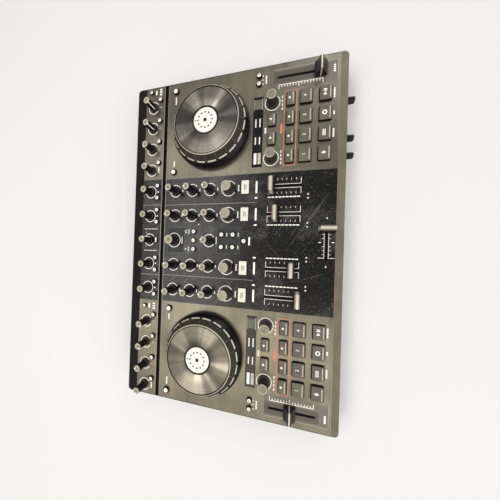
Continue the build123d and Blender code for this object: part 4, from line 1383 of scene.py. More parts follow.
@dataclass
class FaderBank:
    """The seven faders: caps, the rails down in their slots, and the marks beside them."""

    palette: Palette
    slot_width: float = 2.4
    slot_end: float = 1.3
    liner_gap: float = 0.04
    liner: float = 0.15
    liner_floor: float = -4.4
    rail_side: float = 0.7
    rail_width: float = 0.25
    rail_low: float = -3.9
    rail_high: float = -3.5
    mixer_cap = FaderCap(top_width=19.3, ridge=3.25, strip_top=3.3, strip_foot=4.9)
    tempo_cap = FaderCap(top_width=17.5, ridge=2.5, strip_top=1.3, strip_foot=0.45)

    def build(self) -> None:
        """Make the caps, rails, liners and marks."""
        palette = self.palette
        marks, rails, liners = PrintSheet(PLATE_TOP), MeshStack(), MeshStack()
        for node in [f"channel_fader_cap_{i}" for i in range(1, 5)] + ["crossfader_cap"]:
            slot = Slot.of(node)
            self.mixer_cap.build(node, palette, slot.along)
            self.add_rail(rails, slot)
            self.add_liner(liners, slot)
            if slot.along is Axis.Y:
                self.mark_channel(marks, slot)
            else:
                self.mark_crossfader(marks, slot)
        for side in Side:
            node = f"{side.word}_tempo_fader_cap"
            slot = Slot.of(node)
            self.tempo_cap.build(node, palette, slot.along)
            self.add_liner(liners, slot)
        marks.build("fader_marks", palette.white_ink)
        rails.build("fader_rails", [palette.brass], STATIC_BODY, "spindle_steel")
        liners.build("fader_dust_liners", [palette.felt], STATIC_BODY, "case_black")

    def add_rail(self, rails: MeshStack, slot: Slot) -> None:
        """Add the brass rail that shows at the bottom of a slot, beside the lever's path.

        Args:
            rails: The rails' stack.
            slot: The slot.
        """
        x, y, side = slot.x, slot.y, self.rail_side
        ends = [(x + side, y + end) if slot.along is Axis.Y else (x + end, y + side)
                for end in (-slot.half, slot.half)]
        rails.closed_rings(ribbon_rings(np.array(ends), self.rail_width, PLATE_TOP + self.rail_low,
                                        PLATE_TOP + self.rail_high))

    def add_liner(self, liners: MeshStack, slot: Slot) -> None:
        """Add the black felt trough of a slot: up its outside, in over its lip and down to its floor.

        Args:
            liners: The liners' stack.
            slot: The slot.
        """
        wide, long = self.slot_width / 2 - self.liner_gap, slot.half + self.slot_end - self.liner_gap
        levels = []
        for inset, z in ((0.0, self.liner_floor - 0.25), (0.0, -0.05), (self.liner, -0.05),
                         (self.liner, self.liner_floor)):
            a, b = wide - inset, long - inset
            levels.append((*((a, b) if slot.along is Axis.Y else (b, a)), a * 0.98, PLATE_TOP + z))
        liners.closed_rings(rounded_rings(np.array(levels), (slot.x * MM, slot.y * MM), 5))

    def mark_channel(self, marks: PrintSheet, slot: Slot) -> None:
        """Mark a channel fader: lines beside the slot, end brackets and ticks.

        Args:
            marks: The sheet of marks.
            slot: The fader's slot.
        """
        x, y, half = slot.x, slot.y, slot.half
        for side in (-1, 1):
            inner, outer = x + side * 2.6, x + side * 11.0
            marks.line([(inner, y - half), (inner, y + half)], 0.55)
            for end in (-half, half):
                marks.line([(inner - side * 0.28, y + end), (outer, y + end)], 0.6)
            for i in range(1, 7):
                marks.bar(x + side * 9.4, y - half + i * 2 * half / 7, 2.6, 0.5)

    def mark_crossfader(self, marks: PrintSheet, slot: Slot) -> None:
        """Mark the crossfader: lines, end brackets, ticks and an arrowhead at each end.

        Args:
            marks: The sheet of marks.
            slot: The fader's slot.
        """
        x, y, reach = slot.x, slot.y, slot.half - 2
        for side in (-1, 1):
            marks.line([(x - reach, y + side * 2.7), (x + reach, y + side * 2.7)], 0.5)
            for end in (-reach, reach):
                marks.line([(x + end, y + side * 2.45), (x + end, y + side * 10.5)], 0.6)
            for i in (-3, -2, -1, 1, 2, 3):
                marks.bar(x + i * 5.3, y + side * 4.3, 0.5, 2.4)
            marks.bar(x, y + side * 8.2, 1.1, 3.2)
            marks.triangle(x + side * 32, y, 1.5, 0 if side > 0 else 180)


# -------------------- jog wheels
@dataclass
class JogWheel:
    """A jog wheel: gloss rim, ribbed rubber skirt with a ring of dashes, a pale edge painted as a highlight,
    spun disc.
    """

    side: Side
    palette: Palette
    top_radius: float = 48.5
    bore_radius: float = 44.0
    air_gap: float = 0.8
    rim_height: float = 7.0
    dashes: int = 20
    dash_radius: float = 55.6
    dash_width: float = 1.9
    dash_proud: float = 0.28
    dash_gap: float = 0.13      # share of its step that is bare at each end of a dash
    seam_turn: float = 0.006
    seam_start: float = 0.9
    seam_reach: float = 8.6
    seam_proud: float = 0.12
    groove_depth: float = 0.016
    rib_depth: float = 0.0025
    edge_inset: float = 1.6
    label_radius: float = 17.5
    recess_radius: float = 20.3
    dot_ring: float = 10.8
    segments: int = 480

    def __post_init__(self) -> None:
        """Read the wheel's place from its node, and work out the cone of its skirt."""
        self.node = f"{self.side.word}_jog_wheel"
        box = node_box(self.node)
        self.x, self.y, _ = box.centre
        self.centre = (self.x * MM, self.y * MM)
        self.outer = box.size[0] / 2
        self.rim = PLATE_TOP + self.rim_height
        self.high = box.high[2]
        self.slope = (self.high - self.rim) / (self.outer - self.top_radius)
        self.dash_height = self.rim + (self.outer - self.dash_radius) * self.slope
        self.step = FULL_TURN / self.dashes

    def build(self) -> None:
        """Make the wheel's pieces, which all ride on its own body."""
        self.build_skirt()
        self.build_disc()
        half = self.dash_width / 2
        dashes = self.bars(self.dash_gap * self.step, (1 - self.dash_gap) * self.step, 8,
                           [(half, self.dash_proud), (-half, self.dash_proud), (-half, -0.5), (half, -0.5)])
        dashes.build(f"{self.node}_dashes", [self.palette.dash_ink], self.node, "lit_white")
        start, reach, proud = self.seam_start, self.seam_reach, self.seam_proud
        seams = self.bars(-self.seam_turn, self.seam_turn, 2,
                          [(start, proud), (reach, proud), (reach, -0.9), (start, -0.9)])
        seams.build(f"{self.node}_seams", [self.palette.seam], self.node, "knob_black")
        self.build_emblem()

    def build_skirt(self) -> None:
        """Make the rim and the ribbed skirt as one closed ring of rings.

        The skirt's radius is r(v) (1 - d g(u) - e |sin 3 n u|), where g is zero but near each of the
        n grooves, d is the grooves' depth and e that of the fine ribs.
        """
        top, outer, high, dash_height = self.top_radius, self.outer, self.high, self.dash_height
        low = PLATE_TOP + self.air_gap
        grip = np.linspace(self.dash_radius - 0.55, top + 0.7, 7)
        inward = self.dash_radius - grip
        grip_height = dash_height + inward * (high - dash_height) / (self.dash_radius - top)
        rim = [(self.bore_radius, low), (outer - 0.5, low), (outer, low + 0.5), (outer, self.rim - 0.6),
               (outer - 0.35, self.rim + 0.1), (self.dash_radius + 0.7, dash_height - 0.75),
               (self.dash_radius + 0.35, dash_height - 0.1)]
        edge = [(top + 0.25, high - 0.4), (top + 0.02, high - 0.04), (top - 0.5, high),
                (top - 0.75, high - 0.2), (top - 0.8, high - self.edge_inset),
                (self.bore_radius, high - self.edge_inset)]
        profile = np.array(rim + list(zip(grip, grip_height)) + edge)
        # Slot 2, the rounded top edge, takes the pale finish, a painted highlight.
        slots = [1] * (len(rim) - 1) + [0] * len(grip) + [2] * 3 + [1] * 3
        weight = np.array([0.0] * len(rim) + [1.0] * (len(grip) - 1) + [0.0] * (len(edge) + 1))
        angle = round_angles(self.segments)[None, :]
        near = np.clip(np.cos(self.dashes * angle) - 0.92, 0, None) / 0.08
        ribs = self.rib_depth * np.abs(np.sin(3 * self.dashes * angle))
        shape = 1 - weight[:, None] * (self.groove_depth * near + ribs)
        stack = MeshStack()
        stack.closed_rings(turned_rings(profile, self.centre, self.segments, shape), slots)
        dress = [self.palette.jog_grip, self.palette.jog_black, self.palette.jog_edge]
        piece = stack.build(f"{self.node}_skirt", dress, self.node, "jog_metal", sharp_degrees=40)
        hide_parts(self.node)

    def build_disc(self) -> None:
        """Make the spun disc with its chamfered edge, and the label in its black recess."""
        # The turn places each disc's painted highlight and shade sectors.
        turn = 180.0 if self.side is Side.LEFT else 120.0
        spun = SpunAluminium(f"{self.side.word}_disc_spun_aluminium", "76746C", "56544D", "B4B1A5",
                             (self.x, self.y), turn).make()
        edge, recess = self.top_radius - self.edge_inset, self.recess_radius
        label, high = self.label_radius, self.high
        disc = np.array([(edge, high - 1.7), (edge, high - 0.75), (edge - 0.45, high - 0.35),
                         (edge - 1.2, high - 0.3), (edge * 0.7, high - 0.3), (recess + 0.3, high - 0.3),
                         (recess, high - 0.5), (recess - 0.25, high - 0.75), (label, high - 0.75),
                         (2.0, high - 0.75)])
        stack = MeshStack()
        stack.closed_rings(turned_rings(disc, self.centre, 180), [2, 2, 0, 0, 0, 0, 2, 2, 2])
        dress = [spun, self.palette.jog_edge, self.palette.jog_black]
        stack.build(f"{self.node}_disc", dress, self.node, "jog_metal")
        plate = np.array([(label, high - 0.9), (label, high - 0.3), (label - 0.3, high - 0.1),
                          (2.6, high - 0.1), (2.2, high - 0.3)])
        stack = MeshStack()
        stack.closed_rings(turned_rings(plate, self.centre, 96), [0, 0, 0, 1])
        dress = [self.palette.jog_label, self.palette.jog_black]
        stack.build(f"{self.node}_label", dress, self.node, "lit_white")

    def bars(self, first: float, last: float, steps: int, corners: Points) -> MeshStack:
        """Bars that lie on the cone of the skirt, one in each step: a section carried from angle to angle.

        A corner (s, n) is the cone's point at the dash radius, moved by s along the cone's line
        (-1, k) / h and by n along its normal (k, 1) / h, with k the slope and h their length.

        Args:
            first: Where a bar starts in its step, in radians.
            last: Where it ends.
            steps: How many places it has along its length.
            corners: The corners of its section.

        Returns:
            The bars.
        """
        stack = MeshStack()
        length = math.hypot(1, self.slope)
        for i in range(self.dashes):
            angle = np.linspace(i * self.step + first, i * self.step + last, steps)
            rows = []
            for s, n in corners:
                radius = self.dash_radius + (n * self.slope - s) / length
                height = np.full(steps, self.dash_height + (s * self.slope + n) / length)
                x, y = self.x + radius * np.cos(angle), self.y + radius * np.sin(angle)
                rows.append(np.stack([x, y, height], axis=-1))
            stack.closed_rings(np.stack(rows, axis=1) * MM)
        return stack

    def build_emblem(self) -> None:
        """Print the ring of dots and the position bar on the label."""
        emblem = PrintSheet(self.high - 0.1)
        for angle in round_angles(12):
            x, y = self.x + self.dot_ring * math.cos(angle), self.y + self.dot_ring * math.sin(angle)
            emblem.dot(x, y, 1.25)
        emblem.dot(self.x, self.y, 2.3, 24)
        emblem.bar(self.x, self.y + 14.8, 1.3, 2.6)
        emblem.build(f"{self.node}_emblem", self.palette.jog_black, self.node, "knob_black")


# -------------------- keys and buttons
@dataclass(frozen=True)
class KeyTop:
    """Place and size of a key's top, or of a round button's."""

    x: float
    y: float
    width: float
    depth: float

    @property
    def is_round(self) -> bool:
        """Whether it is a round button."""
        return abs(self.width - self.depth) <= 1.0

    @property
    def radius(self) -> float:
        """Radius of a round button."""
        return self.width / 2


@dataclass
class KeyGroup:
    """One group of keys and round buttons, which press together."""

    node: str
    palette: Palette
    lit_keys: bool = False
    lip: float = 0.9
    skirt: float = 3.4
    well: float = 0.75
    clearance: float = 0.15
    edge: float = 0.7
    corner: float = 1.3
    dish: float = 0.12
    lens_share: float = 0.76
    large_radius: float = 4.0

    def __post_init__(self) -> None:
        """Read the height of the tops."""
        self.high = node_box(self.node).high[2]

    def build(self) -> None:
        """Make the keys, lenses, marks and the collars round the lenses."""
        tops = [KeyTop(*box.centre[:2], *(box.size[:2] - 2 * self.lip)) for box in solid_boxes(self.node)]
        keys, lenses, collars = MeshStack(), MeshStack(), MeshStack()
        # Dark rings round the keys, flat on the plate: painted shade in the gap round each key.
        painted_gap_shades = PrintSheet(PLATE_TOP - INK_HEIGHT * 0.4)
        ring = self.well + 2 * self.clearance
        for top in tops:
            if top.is_round:
                self.add_lens(lenses, top)
                self.add_collar(collars, top)
            else:
                self.add_key(keys, top)
                painted_gap_shades.round_frame(top.x, top.y, top.width + ring, top.depth + ring, self.well,
                                  self.corner + ring / 2)
        palette = self.palette
        if self.lit_keys:
            dress, slot = [palette.collar, palette.lens_key], "lit_white"
        else:
            dress, slot = [palette.key_side, palette.key_top], "key_grey"
            painted_gap_shades.build(f"{self.node}_wells", palette.felt, slot="knob_black")
        piece = keys.build(f"{self.node}_keys", dress, self.node, slot)
        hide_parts(self.node)
        lens_dress = [palette.collar, palette.lens, palette.lens_core]
        lenses.build(f"{self.node}_lenses", lens_dress, self.node, "lit_white")
        collars.build(f"{self.node}_collars", [palette.collar], STATIC_BODY, "knob_black")
        self.mark_keys([top for top in tops if not top.is_round])

    def add_key(self, stack: MeshStack, top: KeyTop) -> None:
        """Add a key: upright sides, a quarter-round edge and a slightly dished top.

        Args:
            stack: The keys' stack.
            top: The key's top.
        """
        a, b, r, high, lean = top.width / 2, top.depth / 2, self.edge, self.high, 0.12
        levels = [(a, b, self.corner, PLATE_TOP - self.skirt), (a, b, self.corner, high - 2.2),
                  (a - lean, b - lean, self.corner, high - r)]
        for turn in np.linspace(0.25, 1.0, 4) * math.pi / 2:
            inset = lean + r * (1 - math.cos(turn))
            corner = max(self.corner - inset * 0.6, 0.4)
            levels.append((a - inset, b - inset, corner, high - r + r * math.sin(turn)))
        levels += [(a * 0.62, b * 0.6, 0.6, high - self.dish), (a * 0.2, b * 0.2, 0.2, high - self.dish)]
        # The sides take the near black finish, as painted shade; the top takes the grey.
        slots = [0] * 3 + [1] * (len(levels) - 4)
        stack.closed_rings(rounded_rings(np.array(levels), (top.x * MM, top.y * MM), 5), slots)

    def add_lens(self, stack: MeshStack, top: KeyTop) -> None:
        """Add a round button: black side and rim, domed white lens and, on small ones, a grey core.

        Args:
            stack: The lenses' stack.
            top: The button's top.
        """
        radius, high = top.radius, self.high
        lens = radius * self.lens_share
        rise = np.linspace(0.12, 1, 6)[:-1] * math.pi / 2
        dome = np.stack([lens * np.cos(rise * 0.82), high - 0.75 + 0.7 * np.sin(rise)], axis=-1)
        rim = [(radius, PLATE_TOP - self.skirt), (radius, high - 0.75), (radius - 0.15, high - 0.6),
               (lens, high - 0.6)]
        profile = np.concatenate([rim, dome, [(radius * 0.27, high - 0.07), (radius * 0.22, high - 0.3)]])
        slots = [0] * 3 + [1] * (len(profile) - 5) + [2 if radius < self.large_radius else 1]
        stack.closed_rings(turned_rings(profile, (top.x * MM, top.y * MM), 32), slots)

    def add_collar(self, stack: MeshStack, top: KeyTop) -> None:
        """Add the raised black collar that a round lens moves in.

        Args:
            stack: The collars' stack.
            top: The button's top.
        """
        inner = top.radius + 0.3
        outer = top.radius + (1.4 if top.radius > self.large_radius else 1.1)
        heights = ((outer, -0.02), (outer - 0.1, 0.45), (outer - 0.4, 0.65), (inner + 0.1, 0.65),
                   (inner, 0.5), (inner, -0.02))
        section = np.array([(radius, PLATE_TOP + height) for radius, height in heights])
        stack.tube_ring(section, (top.x * MM, top.y * MM), 36)

    def mark_keys(self, keys: Sequence[KeyTop]) -> None:
        """Print each key's sign, and a pale bar near its front edge that is a painted highlight.

        Args:
            keys: The tops of the keys.
        """
        signs = PrintSheet(self.high - self.dish * 0.5)
        if self.lit_keys:
            for key in keys:
                signs.words(key.x, key.y + 0.9, 8.6, 1.6)
                signs.words(key.x, key.y - 1.3, 6.4, 1.4)
            signs.build(f"{self.node}_signs", self.palette.lens_sign, self.node)
            return
        bars = PrintSheet(self.high - self.dish * 0.35)
        rows = sorted({round(key.y, 1) for key in keys})
        for key in keys:
            # A pale bar near the key's front edge: a painted highlight.
            bars.bar(key.x, key.y - key.depth / 2 + 2.3, key.width - 4.2, 1.35)
            row = rows.index(round(key.y, 1))
            column = sorted(other.x for other in keys if round(other.y, 1) == rows[row]).index(key.x)
            self.add_sign(signs, row, column, key.x, key.y + 1.0)
        signs.build(f"{self.node}_signs", self.palette.white_ink, self.node)
        bars.build(f"{self.node}_light_bars", self.palette.key_bar, self.node, "key_grey")

    def add_sign(self, signs: PrintSheet, row: int, column: int, x: float, y: float) -> None:
        """Print one plain sign: play and cue signs, digits, dots or loop arrows.

        Args:
            signs: The sheet of signs.
            row: The key's row, from the front.
            column: Its place in the row, from the left.
            x: Middle of the sign.
            y: Middle of the sign.
        """
        if row == 3:
            signs.triangle(x, y + 0.4, 2.2, 0 if column == 0 else 180)
        elif row == 2:
            signs.dot(x, y + 0.6, 1.4)
        elif row == 1:
            signs.number(x, y + 0.6, str(column + 1), 6.0)
        elif column == 0:
            signs.triangle(x, y + 0.9, 2.4, 90)
            signs.bar(x, y - 1.3, 2.0, 2.4)
        elif column == 1:
            signs.bar(x, y + 1.4, 8.5, 1.2)
            signs.bar(x, y - 1.0, 8.5, 1.2)
        elif column == 2:
            signs.ring(x, y, 2.4, 1.3, 24)
        else:
            signs.triangle(x - 2.0, y, 2.7, 0)
            signs.bar(x + 2.1, y, 1.2, 4.4)
            signs.bar(x + 4.1, y, 1.2, 4.4)


# -------------------- windows
@dataclass
class DisplayWindows:
    """Two smoked windows, each with a painted glare (a white bar over a grey one) at its left end, two pairs
    of marks and a small display.
    """

    palette: Palette
    corner: float = 0.8
    caption: float = 12.0       # from a window's left end, as the next three are
    marks: tuple[tuple[float, float], ...] = ((37.5, 10.5), (63.0, 12.0))
    screen_line: tuple[float, float] = (81.5, 97.5)
    screen: float = 89.5

    def build(self) -> None:
        """Make the windows and what shows in them."""
        glass = MeshStack()
        boxes = solid_boxes("display_windows")
        top = boxes[0].high[2]
        white, grey, screen = PrintSheet(top), PrintSheet(top), PrintSheet(top)
        for box in boxes:
            a, b = box.size[:2] / 2
            levels = np.array([(a, b, self.corner, box.low[2]), (a, b, self.corner, top - 0.2),
                               (a - 0.2, b - 0.2, self.corner, top), (a * 0.5, b * 0.5, 0.4, top)])
            glass.closed_rings(rounded_rings(levels, box.centre[:2] * MM, 4))
            left, y = box.low[0], box.centre[1]
            # The two bars at the window's left end, white over grey, are a painted glare.
            white.bar(left + self.caption, y + 2.6, 16, 4.0, 0.4)
            grey.bar(left + self.caption, y - 3.3, 16, 4.4, 0.4)
            for x, width in self.marks:
                for side in (-1, 1):
                    white.words(left + x, y + side * 3.0, width, 1.9)
            screen.bar(left + self.screen, y + 0.3, 13.5, 10.5, 0.4)
            for row, width in ((6.2, 0.5), (-5.9, 0.9)):
                grey.line([(left + x, y + row) for x in self.screen_line], width)
        piece = glass.build("display_windows_glass", [self.palette.glass], STATIC_BODY, "window")
        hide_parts("display_windows")
        white.build("display_captions_lit", self.palette.white_ink)
        grey.build("display_captions_dim", self.palette.pale_ink)
        screen.build("display_screens", self.palette.lcd, slot="window")


# -------------------- printing on the faceplates
@dataclass
class MixerPrint:
    """Marks on the mixer's faceplates and the light lines between its channels."""

    palette: Palette
    channels: tuple[float, ...] = (-77.4, -38.5, 38.5, 77.4)
    separator: float = 55.6
    meter: float = 15.2              # from a channel's middle to its meter
    meter_row: float = 49.0
    meter_pitch: float = 5.0
    meter_lamps: int = 9
    arrow_row: float = 36.6
    button_row: float = 107.6
    filter_row: float = 134.3
    tone_row: float = 166.8
    tone_pitch: float = 29.55
    level_meter: float = 17.5
    level_row: float = 6.6
    level_pitch: float = 2.8
    boxes: tuple[tuple[float, float], ...] = ((220.5, 250.0), (130.0, 165.5))

    def build(self) -> None:
        """Make the marks."""
        white = PrintSheet(PLATE_TOP)
        for x in self.channels:
            self.mark_channel(white, x, -math.copysign(self.meter, x))
        self.mark_centre(white)
        white.build("mixer_marks", self.palette.white_ink)
        self.build_boxes()
        self.build_separators()

    def mark_channel(self, white: PrintSheet, x: float, inward: float) -> None:
        """Print a channel's captions, its meter and the arrows in front of it.

        Args:
            white: The sheet of white marks.
            x: Middle of the channel.
            inward: How far its meter is from there.
        """
        for i in range(3):
            white.words(x, main_row(self.tone_row + self.tone_pitch * i), 4.4, 1.7)
        white.words(x, main_row(self.filter_row), 9.5, 1.9)
        white.bar(x, main_row(self.button_row), 17.4, 2.6)
        white.bar(x + inward, main_row(self.button_row + 0.2), 2.2, 4.2)
        for i in range(self.meter_lamps):
            white.bar(x + inward, main_row(self.meter_row + i * self.meter_pitch), 1.5, 4.1)
        white.triangle(x + inward - 2.6, main_row(self.arrow_row), 1.5, 180)
        white.triangle(x + inward + 2.6, main_row(self.arrow_row), 1.5, 0)
        white.bar(x, strip_row(7.2), 1.9, 2.8)

    def mark_centre(self, white: PrintSheet) -> None:
        """Print the marks of the centre column: captions, browse signs and the two level meters.

        Args:
            white: The sheet of white marks.
        """
        white.words(0, main_row(224.2), 11.0, 1.6)
        white.words(0, main_row(self.tone_row), 11.0, 1.5)
        for side in (-1, 1):
            white.words(side * 13.4, main_row(212.6), 7.0, 1.5)
            for row in (150.4, 132.6):
                white.words(side * 9.2, main_row(row), 5.0, 1.4)
        white.triangle(-13.4, main_row(217.6), 1.7, 270)
        white.arc(13.4, main_row(217.4), 1.6, 0.7, 0, 180, steps=16)
        for ear in (11.8, 15.0):
            white.dot(ear, main_row(216.9), 0.75)
        white.triangle(24.4, main_row(196.4), 1.4, 180)
        white.bar(0, main_row(115.9), 12.0, 2.4)
        for side in (-1, 1):
            for i in range(9):
                white.bar(side * self.level_meter, strip_row(self.level_row + i * self.level_pitch), 1.2, 1.7)
        for x, digit in ((-10.8, "0"), (11.2, "9")):
            white.number(x, strip_row(26.5), digit, 3.2)
        white.bar(0, strip_row(8.4), 7.6, 2.6)

    def build_boxes(self) -> None:
        """Print the two slate boxes behind the centre column, with their paler edges."""
        fill = PrintSheet(PLATE_TOP - INK_HEIGHT * 0.5)
        edge = PrintSheet(PLATE_TOP - INK_HEIGHT * 0.3)
        for low, high in self.boxes:
            middle, depth = main_row((low + high) / 2), high - low
            fill.bar(0, middle, 38.0, depth, 0.3)
            edge.frame_line(0, middle, 38.4, depth, 0.35)
        fill.build("mixer_centre_panels", self.palette.blue_ink, slot="mixer_gloss")
        edge.build("mixer_centre_panel_edges", self.palette.dark_ink)

    def build_separators(self) -> None:
        """Make the thin satin lines between the channel pairs, and the pale lines along the plates' edges,
        which are painted highlights.
        """
        lines = PrintSheet(PLATE_TOP)
        half = PLATE.high[0]
        rear = max(box.high[1] for box in solid_boxes("mixer_faceplates") if box.low[1] < STRIP_FRONT - 1)
        for side in (-1, 1):
            for x, front, back, width in ((self.separator, main_row(108), rear, 0.7),
                                          (self.separator + 0.9, STRIP_FRONT, STRIP_REAR, 0.8),
                                          (half, PLATE_FRONT, rear, 0.5)):
                lines.line([(side * x, front), (side * x, back)], width)
        # Pale lines along the plates' front edge and the groove's ledges: painted highlights.
        deck = node_box("deck_faceplates")
        for y, width in ((rear + 0.3, 0.9), (STRIP_FRONT - 0.3, 1.1), (PLATE_FRONT + 0.3, 0.7)):
            lines.line([(deck.low[0], y), (deck.high[0], y)], width)
        lines.build("plate_edge_lines", self.palette.line_light, slot="deck_metal")


@dataclass
class DeckPrint:
    """Marks on one deck's faceplates. Places are mirrored for the left deck, but signs aren't."""

    side: Side
    palette: Palette
    tempo_column: float = 229.8
    key_centre: float = 157.45
    key_pitch: float = 26.4
    slot_half_width: float = 1.25
    slot_front: float = 19.6
    slot_rear: float = 82.4
    ladder: float = 10.7             # from the tempo slot to the ladder of ticks
    ladder_row: float = 22.0
    ladder_pitch: float = 3.87
    ladder_ticks: int = 16

    def build(self) -> None:
        """Make the marks of one deck."""
        s = self.side.value
        white = PrintSheet(PLATE_TOP)
        white.words(s * 157.0, main_row(97.4), 8.2, 2.3)
        for x, width in ((221.5, 12.0), (121.0, 9.0)):
            white.words(s * x, main_row(242.9), width, 2.4)
        for x in (224.3, 230.3, 236.2):
            white.bar(s * x, main_row(102.9), 1.8, 1.2)
        white.words(s * 230.1, main_row(98.2), 11.8, 2.1)
        for x, width in ((194.4, 22.0), (118.4, 21.0)):
            white.words(s * x, main_row(74.6), width, 1.9, 3)
        for column, width in ((-0.5, 11.5), (0.5, 5.0), (1.5, 13.0)):
            white.words(s * self.key_centre + column * self.key_pitch, main_row(7.1), width, 2.1)
        self.mark_tempo(white)
        self.mark_effects(white)
        white.build(f"{self.side.word}_deck_marks", self.palette.white_ink)
        orange = PrintSheet(PLATE_TOP)
        orange.round_frame(s * 157.2, main_row(63.4), 103.4, 16.4, 0.85, 1.6)
        orange.bar(s * 157.4, main_row(75.0), 14.0, 2.6)
        orange.build(f"{self.side.word}_hot_cue_frame", self.palette.orange_ink)

    def mark_tempo(self, white: PrintSheet) -> None:
        """Print the tempo fader's panel, its ladder of ticks and its caption.

        Args:
            white: The sheet of white marks.
        """
        s, x, palette = self.side.value, self.tempo_column, self.palette
        front, rear, half = self.slot_front, self.slot_rear, self.slot_half_width
        hole = (s * x - half, main_row(front), s * x + half, main_row(rear))
        panel, inner = PrintSheet(PLATE_TOP - INK_HEIGHT * 0.5), PrintSheet(PLATE_TOP - INK_HEIGHT * 0.2)
        panel.panel(s * (x - 3.6), main_row(45.5), 28.8, 84.5, hole)
        inner.panel(s * x, main_row(51.3), 16.0, 72.5, hole)
        ladder = x - self.ladder
        white.line([(s * ladder, main_row(21.8)), (s * ladder, main_row(80.2))], 0.7)
        for i in range(self.ladder_ticks):
            length = 5.8 if i in (0, self.ladder_ticks // 2, self.ladder_ticks - 1) else 3.4
            row = main_row(self.ladder_row + i * self.ladder_pitch)
            white.bar(s * (ladder - length / 2), row, length, 0.85)
        white.words(s * x, main_row(7.6), 10.5, 2.6)
        rim, border = PrintSheet(PLATE_TOP), PrintSheet(PLATE_TOP)
        rim.round_frame(s * x, main_row((front + rear) / 2), 2 * half + 0.7, rear - front + 0.7, 0.7, 0.6)
        border.line([(s * (x - 18), main_row(3.4)), (s * (x + 10.9), main_row(3.4)),
                     (s * (x + 10.9), main_row(87.6))], 0.35)
        rim.build(f"{self.side.word}_tempo_slot_rim", palette.felt, slot="knob_black")
        border.build(f"{self.side.word}_tempo_border", palette.pale_ink)
        panel.build(f"{self.side.word}_tempo_panel", palette.panel_ink, slot="deck_metal")
        inner.build(f"{self.side.word}_tempo_panel_inner", palette.dark_ink, slot="deck_metal")

    def mark_effects(self, white: PrintSheet) -> None:
        """Print the marks of the effect unit on the rear strip.

        Args:
            white: The sheet of white marks.
        """
        places = [node_box(f"{self.side.word}_effect_knob_{i}").centre[0] for i in range(1, 5)]
        white.words(places[0], strip_row(7.2), 9.5, 2.4)
        for i in (1, 2, 3):
            white.number(places[i], strip_row(7.2), str(i), 4.4)
        buttons = solid_boxes(f"{self.side.word}_deck_buttons")
        x, y = max((box.centre[:2] for box in buttons if box.low[1] > STRIP_FRONT),
                   key=lambda centre: centre[1])
        white.bar(x, y - 7.6, 7.2, 2.4)
        for offset in (-3.9, 0.1, 4.0):
            white.bar(x + offset, strip_row(7.6), 2.3, 4.4)


# -------------------- case and studio
@dataclass
class Case:
    """The nodes that keep their own shape, and get a finish each."""

    palette: Palette

    def dress(self) -> None:
        """Give each of these nodes its material."""
        palette = self.palette
        finishes = {"bottom_case": palette.case_black, "top_case": palette.top_case,
                    "deck_faceplates": palette.deck_metal, "mixer_faceplates": palette.mixer_gloss,
                    "control_boards": palette.board, "jog_spindles": palette.steel,
                    "sockets": palette.socket, "rubber_feet": palette.rubber, "case_screws": palette.screw}
        for node, material in finishes.items():
            for slot in frame["nodes"][node].material_slots:
                slot.link = "OBJECT"
                slot.material = material
            log.info("%s: finish %s", node, material.name)


@dataclass(frozen=True)
class Lamp:
    """A soft rectangular lamp that faces the middle of the part; its place and sides are in metres."""

    name: str
    place: tuple[float, float, float]
    width: float
    depth: float
    power: float
    tint: str

    def hang(self) -> None:
        """Put the lamp in the scene: it tilts by atan2(|(x, y)|, z) and turns by atan2(y, x) + pi/2."""
        light = bpy.data.lights.new(self.name, "AREA")
        light.shape = "RECTANGLE"
        light.size = self.width
        light.size_y = self.depth
        light.energy = self.power
        light.color = linear(self.tint)[:3]
        lamp = bpy.data.objects.new(self.name, light)
        x, y, z = self.place
        lamp.location = self.place
        lamp.rotation_euler = (math.atan2(math.hypot(x, y), z), 0.0, math.atan2(y, x) + math.pi / 2)
        bpy.context.scene.collection.objects.link(lamp)


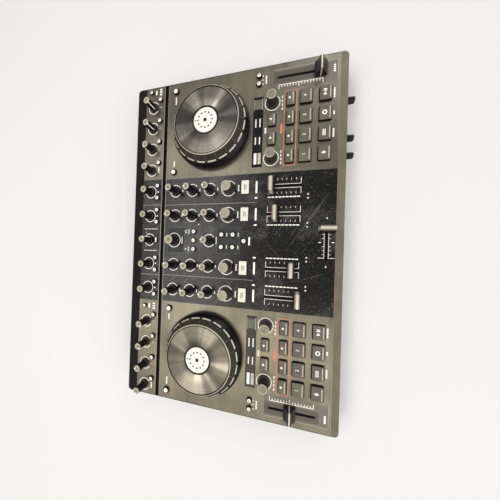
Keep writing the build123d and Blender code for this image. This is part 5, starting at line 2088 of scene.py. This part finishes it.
@dataclass
class Studio:
    """Pale floor, soft lamps and the camera."""

    floor_radius: float = 6000.0
    floor_depth: float = 20.0
    room_light: float = 0.38
    sensor: float = 36.0
    render_side: float = 500.0  # the next three are in the same unit
    focal: float = 167.22
    middle_x: float = 256.0
    middle_y: float = 252.0
    place: tuple[float, float, float] = (-16.48, -94.22, 263.61)
    right: tuple[float, float, float] = (0.0316, -0.9787, -0.2028)
    down: tuple[float, float, float] = (-0.9995, -0.0297, -0.0122)

    # only the two weak overhead lamps are mirrored in the faceplates
    lamps = (Lamp("key_lamp", (-1.9, -1.9, 1.7), 1.6, 1.6, 24.0, "FFFEFC"),
             Lamp("overhead_rear_lamp", (0.15, 0.95, 1.5), 2.1, 0.8, 13.3, "FFFCF6"),
             Lamp("overhead_left_lamp", (-1.05, 0.25, 1.5), 2.0, 0.9, 10.0, "FFEFDD"),
             Lamp("fill_lamp", (1.9, -0.9, 1.0), 1.2, 1.2, 13.0, "FFFEFC"),
             Lamp("front_lamp", (-0.3, -2.1, 1.0), 1.2, 1.2, 13.0, "FFFEFC"))

    def build(self) -> None:
        """Make the floor, the world, the lamps and the camera."""
        self.build_floor()
        self.build_world()
        for lamp in self.lamps:
            lamp.hang()
        self.build_camera()

    def build_floor(self) -> None:
        """Lay a pale round floor under the feet: r cos u, r sin u."""
        angle = round_angles(64)
        edge = np.stack([self.floor_radius * np.cos(angle), self.floor_radius * np.sin(angle)], axis=-1)
        stack = MeshStack()
        stack.closed_rings(prism_rings(edge, -self.floor_depth, 0.0))
        paint = MattPaint("studio_floor_paint", "EAECEE", "E6E8EA").make()
        floor = bpy.data.objects.new("floor", stack.mesh("floor", [paint]))
        bpy.context.scene.collection.objects.link(floor)

    def build_world(self) -> None:
        """Light the room evenly and softly."""
        world = bpy.data.worlds.new("studio_room")
        world.use_nodes = True
        tree = world.node_tree
        tree.nodes.clear()
        back = add_node(tree, "Background", {"Color": linear("F4F4F2"), "Strength": self.room_light})
        add_node(tree, "OutputWorld", {"Surface": (back, "Background")})
        bpy.context.scene.world = world

    def build_camera(self) -> None:
        """Set the camera: its axes point right, up and back as the render shows them."""
        camera = bpy.data.cameras.new("camera")
        camera.sensor_width = self.sensor
        camera.lens = self.focal / self.render_side * self.sensor
        camera.shift_x = (self.render_side / 2 - self.middle_x) / self.render_side
        camera.shift_y = (self.middle_y - self.render_side / 2) / self.render_side
        camera.clip_start = 0.01
        right = np.array(self.right) / np.linalg.norm(self.right)
        up = -np.array(self.down)
        up -= right * (right @ up)
        up /= np.linalg.norm(up)
        matrix = np.eye(4)
        matrix[:3, :] = np.stack([right, up, np.cross(right, up), np.array(self.place) * MM], axis=-1)
        carrier = bpy.data.objects.new("camera", camera)
        carrier.matrix_world = Matrix(matrix.tolist())
        bpy.context.scene.collection.objects.link(carrier)
        bpy.context.scene.camera = carrier


def main() -> None:
    """Build every sub-assembly in order."""
    logging.basicConfig(level=logging.INFO, format="%(message)s")
    bpy.context.scene.view_settings.view_transform = "Standard"
    palette = Palette()
    Case(palette).dress()
    KnobBank(palette).build()
    FaderBank(palette).build()
    for side in Side:
        JogWheel(side, palette).build()
    for side in Side:
        KeyGroup(f"{side.word}_deck_buttons", palette).build()
    KeyGroup("mixer_buttons", palette, lit_keys=True).build()
    DisplayWindows(palette).build()
    MixerPrint(palette).build()
    for side in Side:
        DeckPrint(side, palette).build()
    Studio().build()


if __name__ == "__main__":
    main()
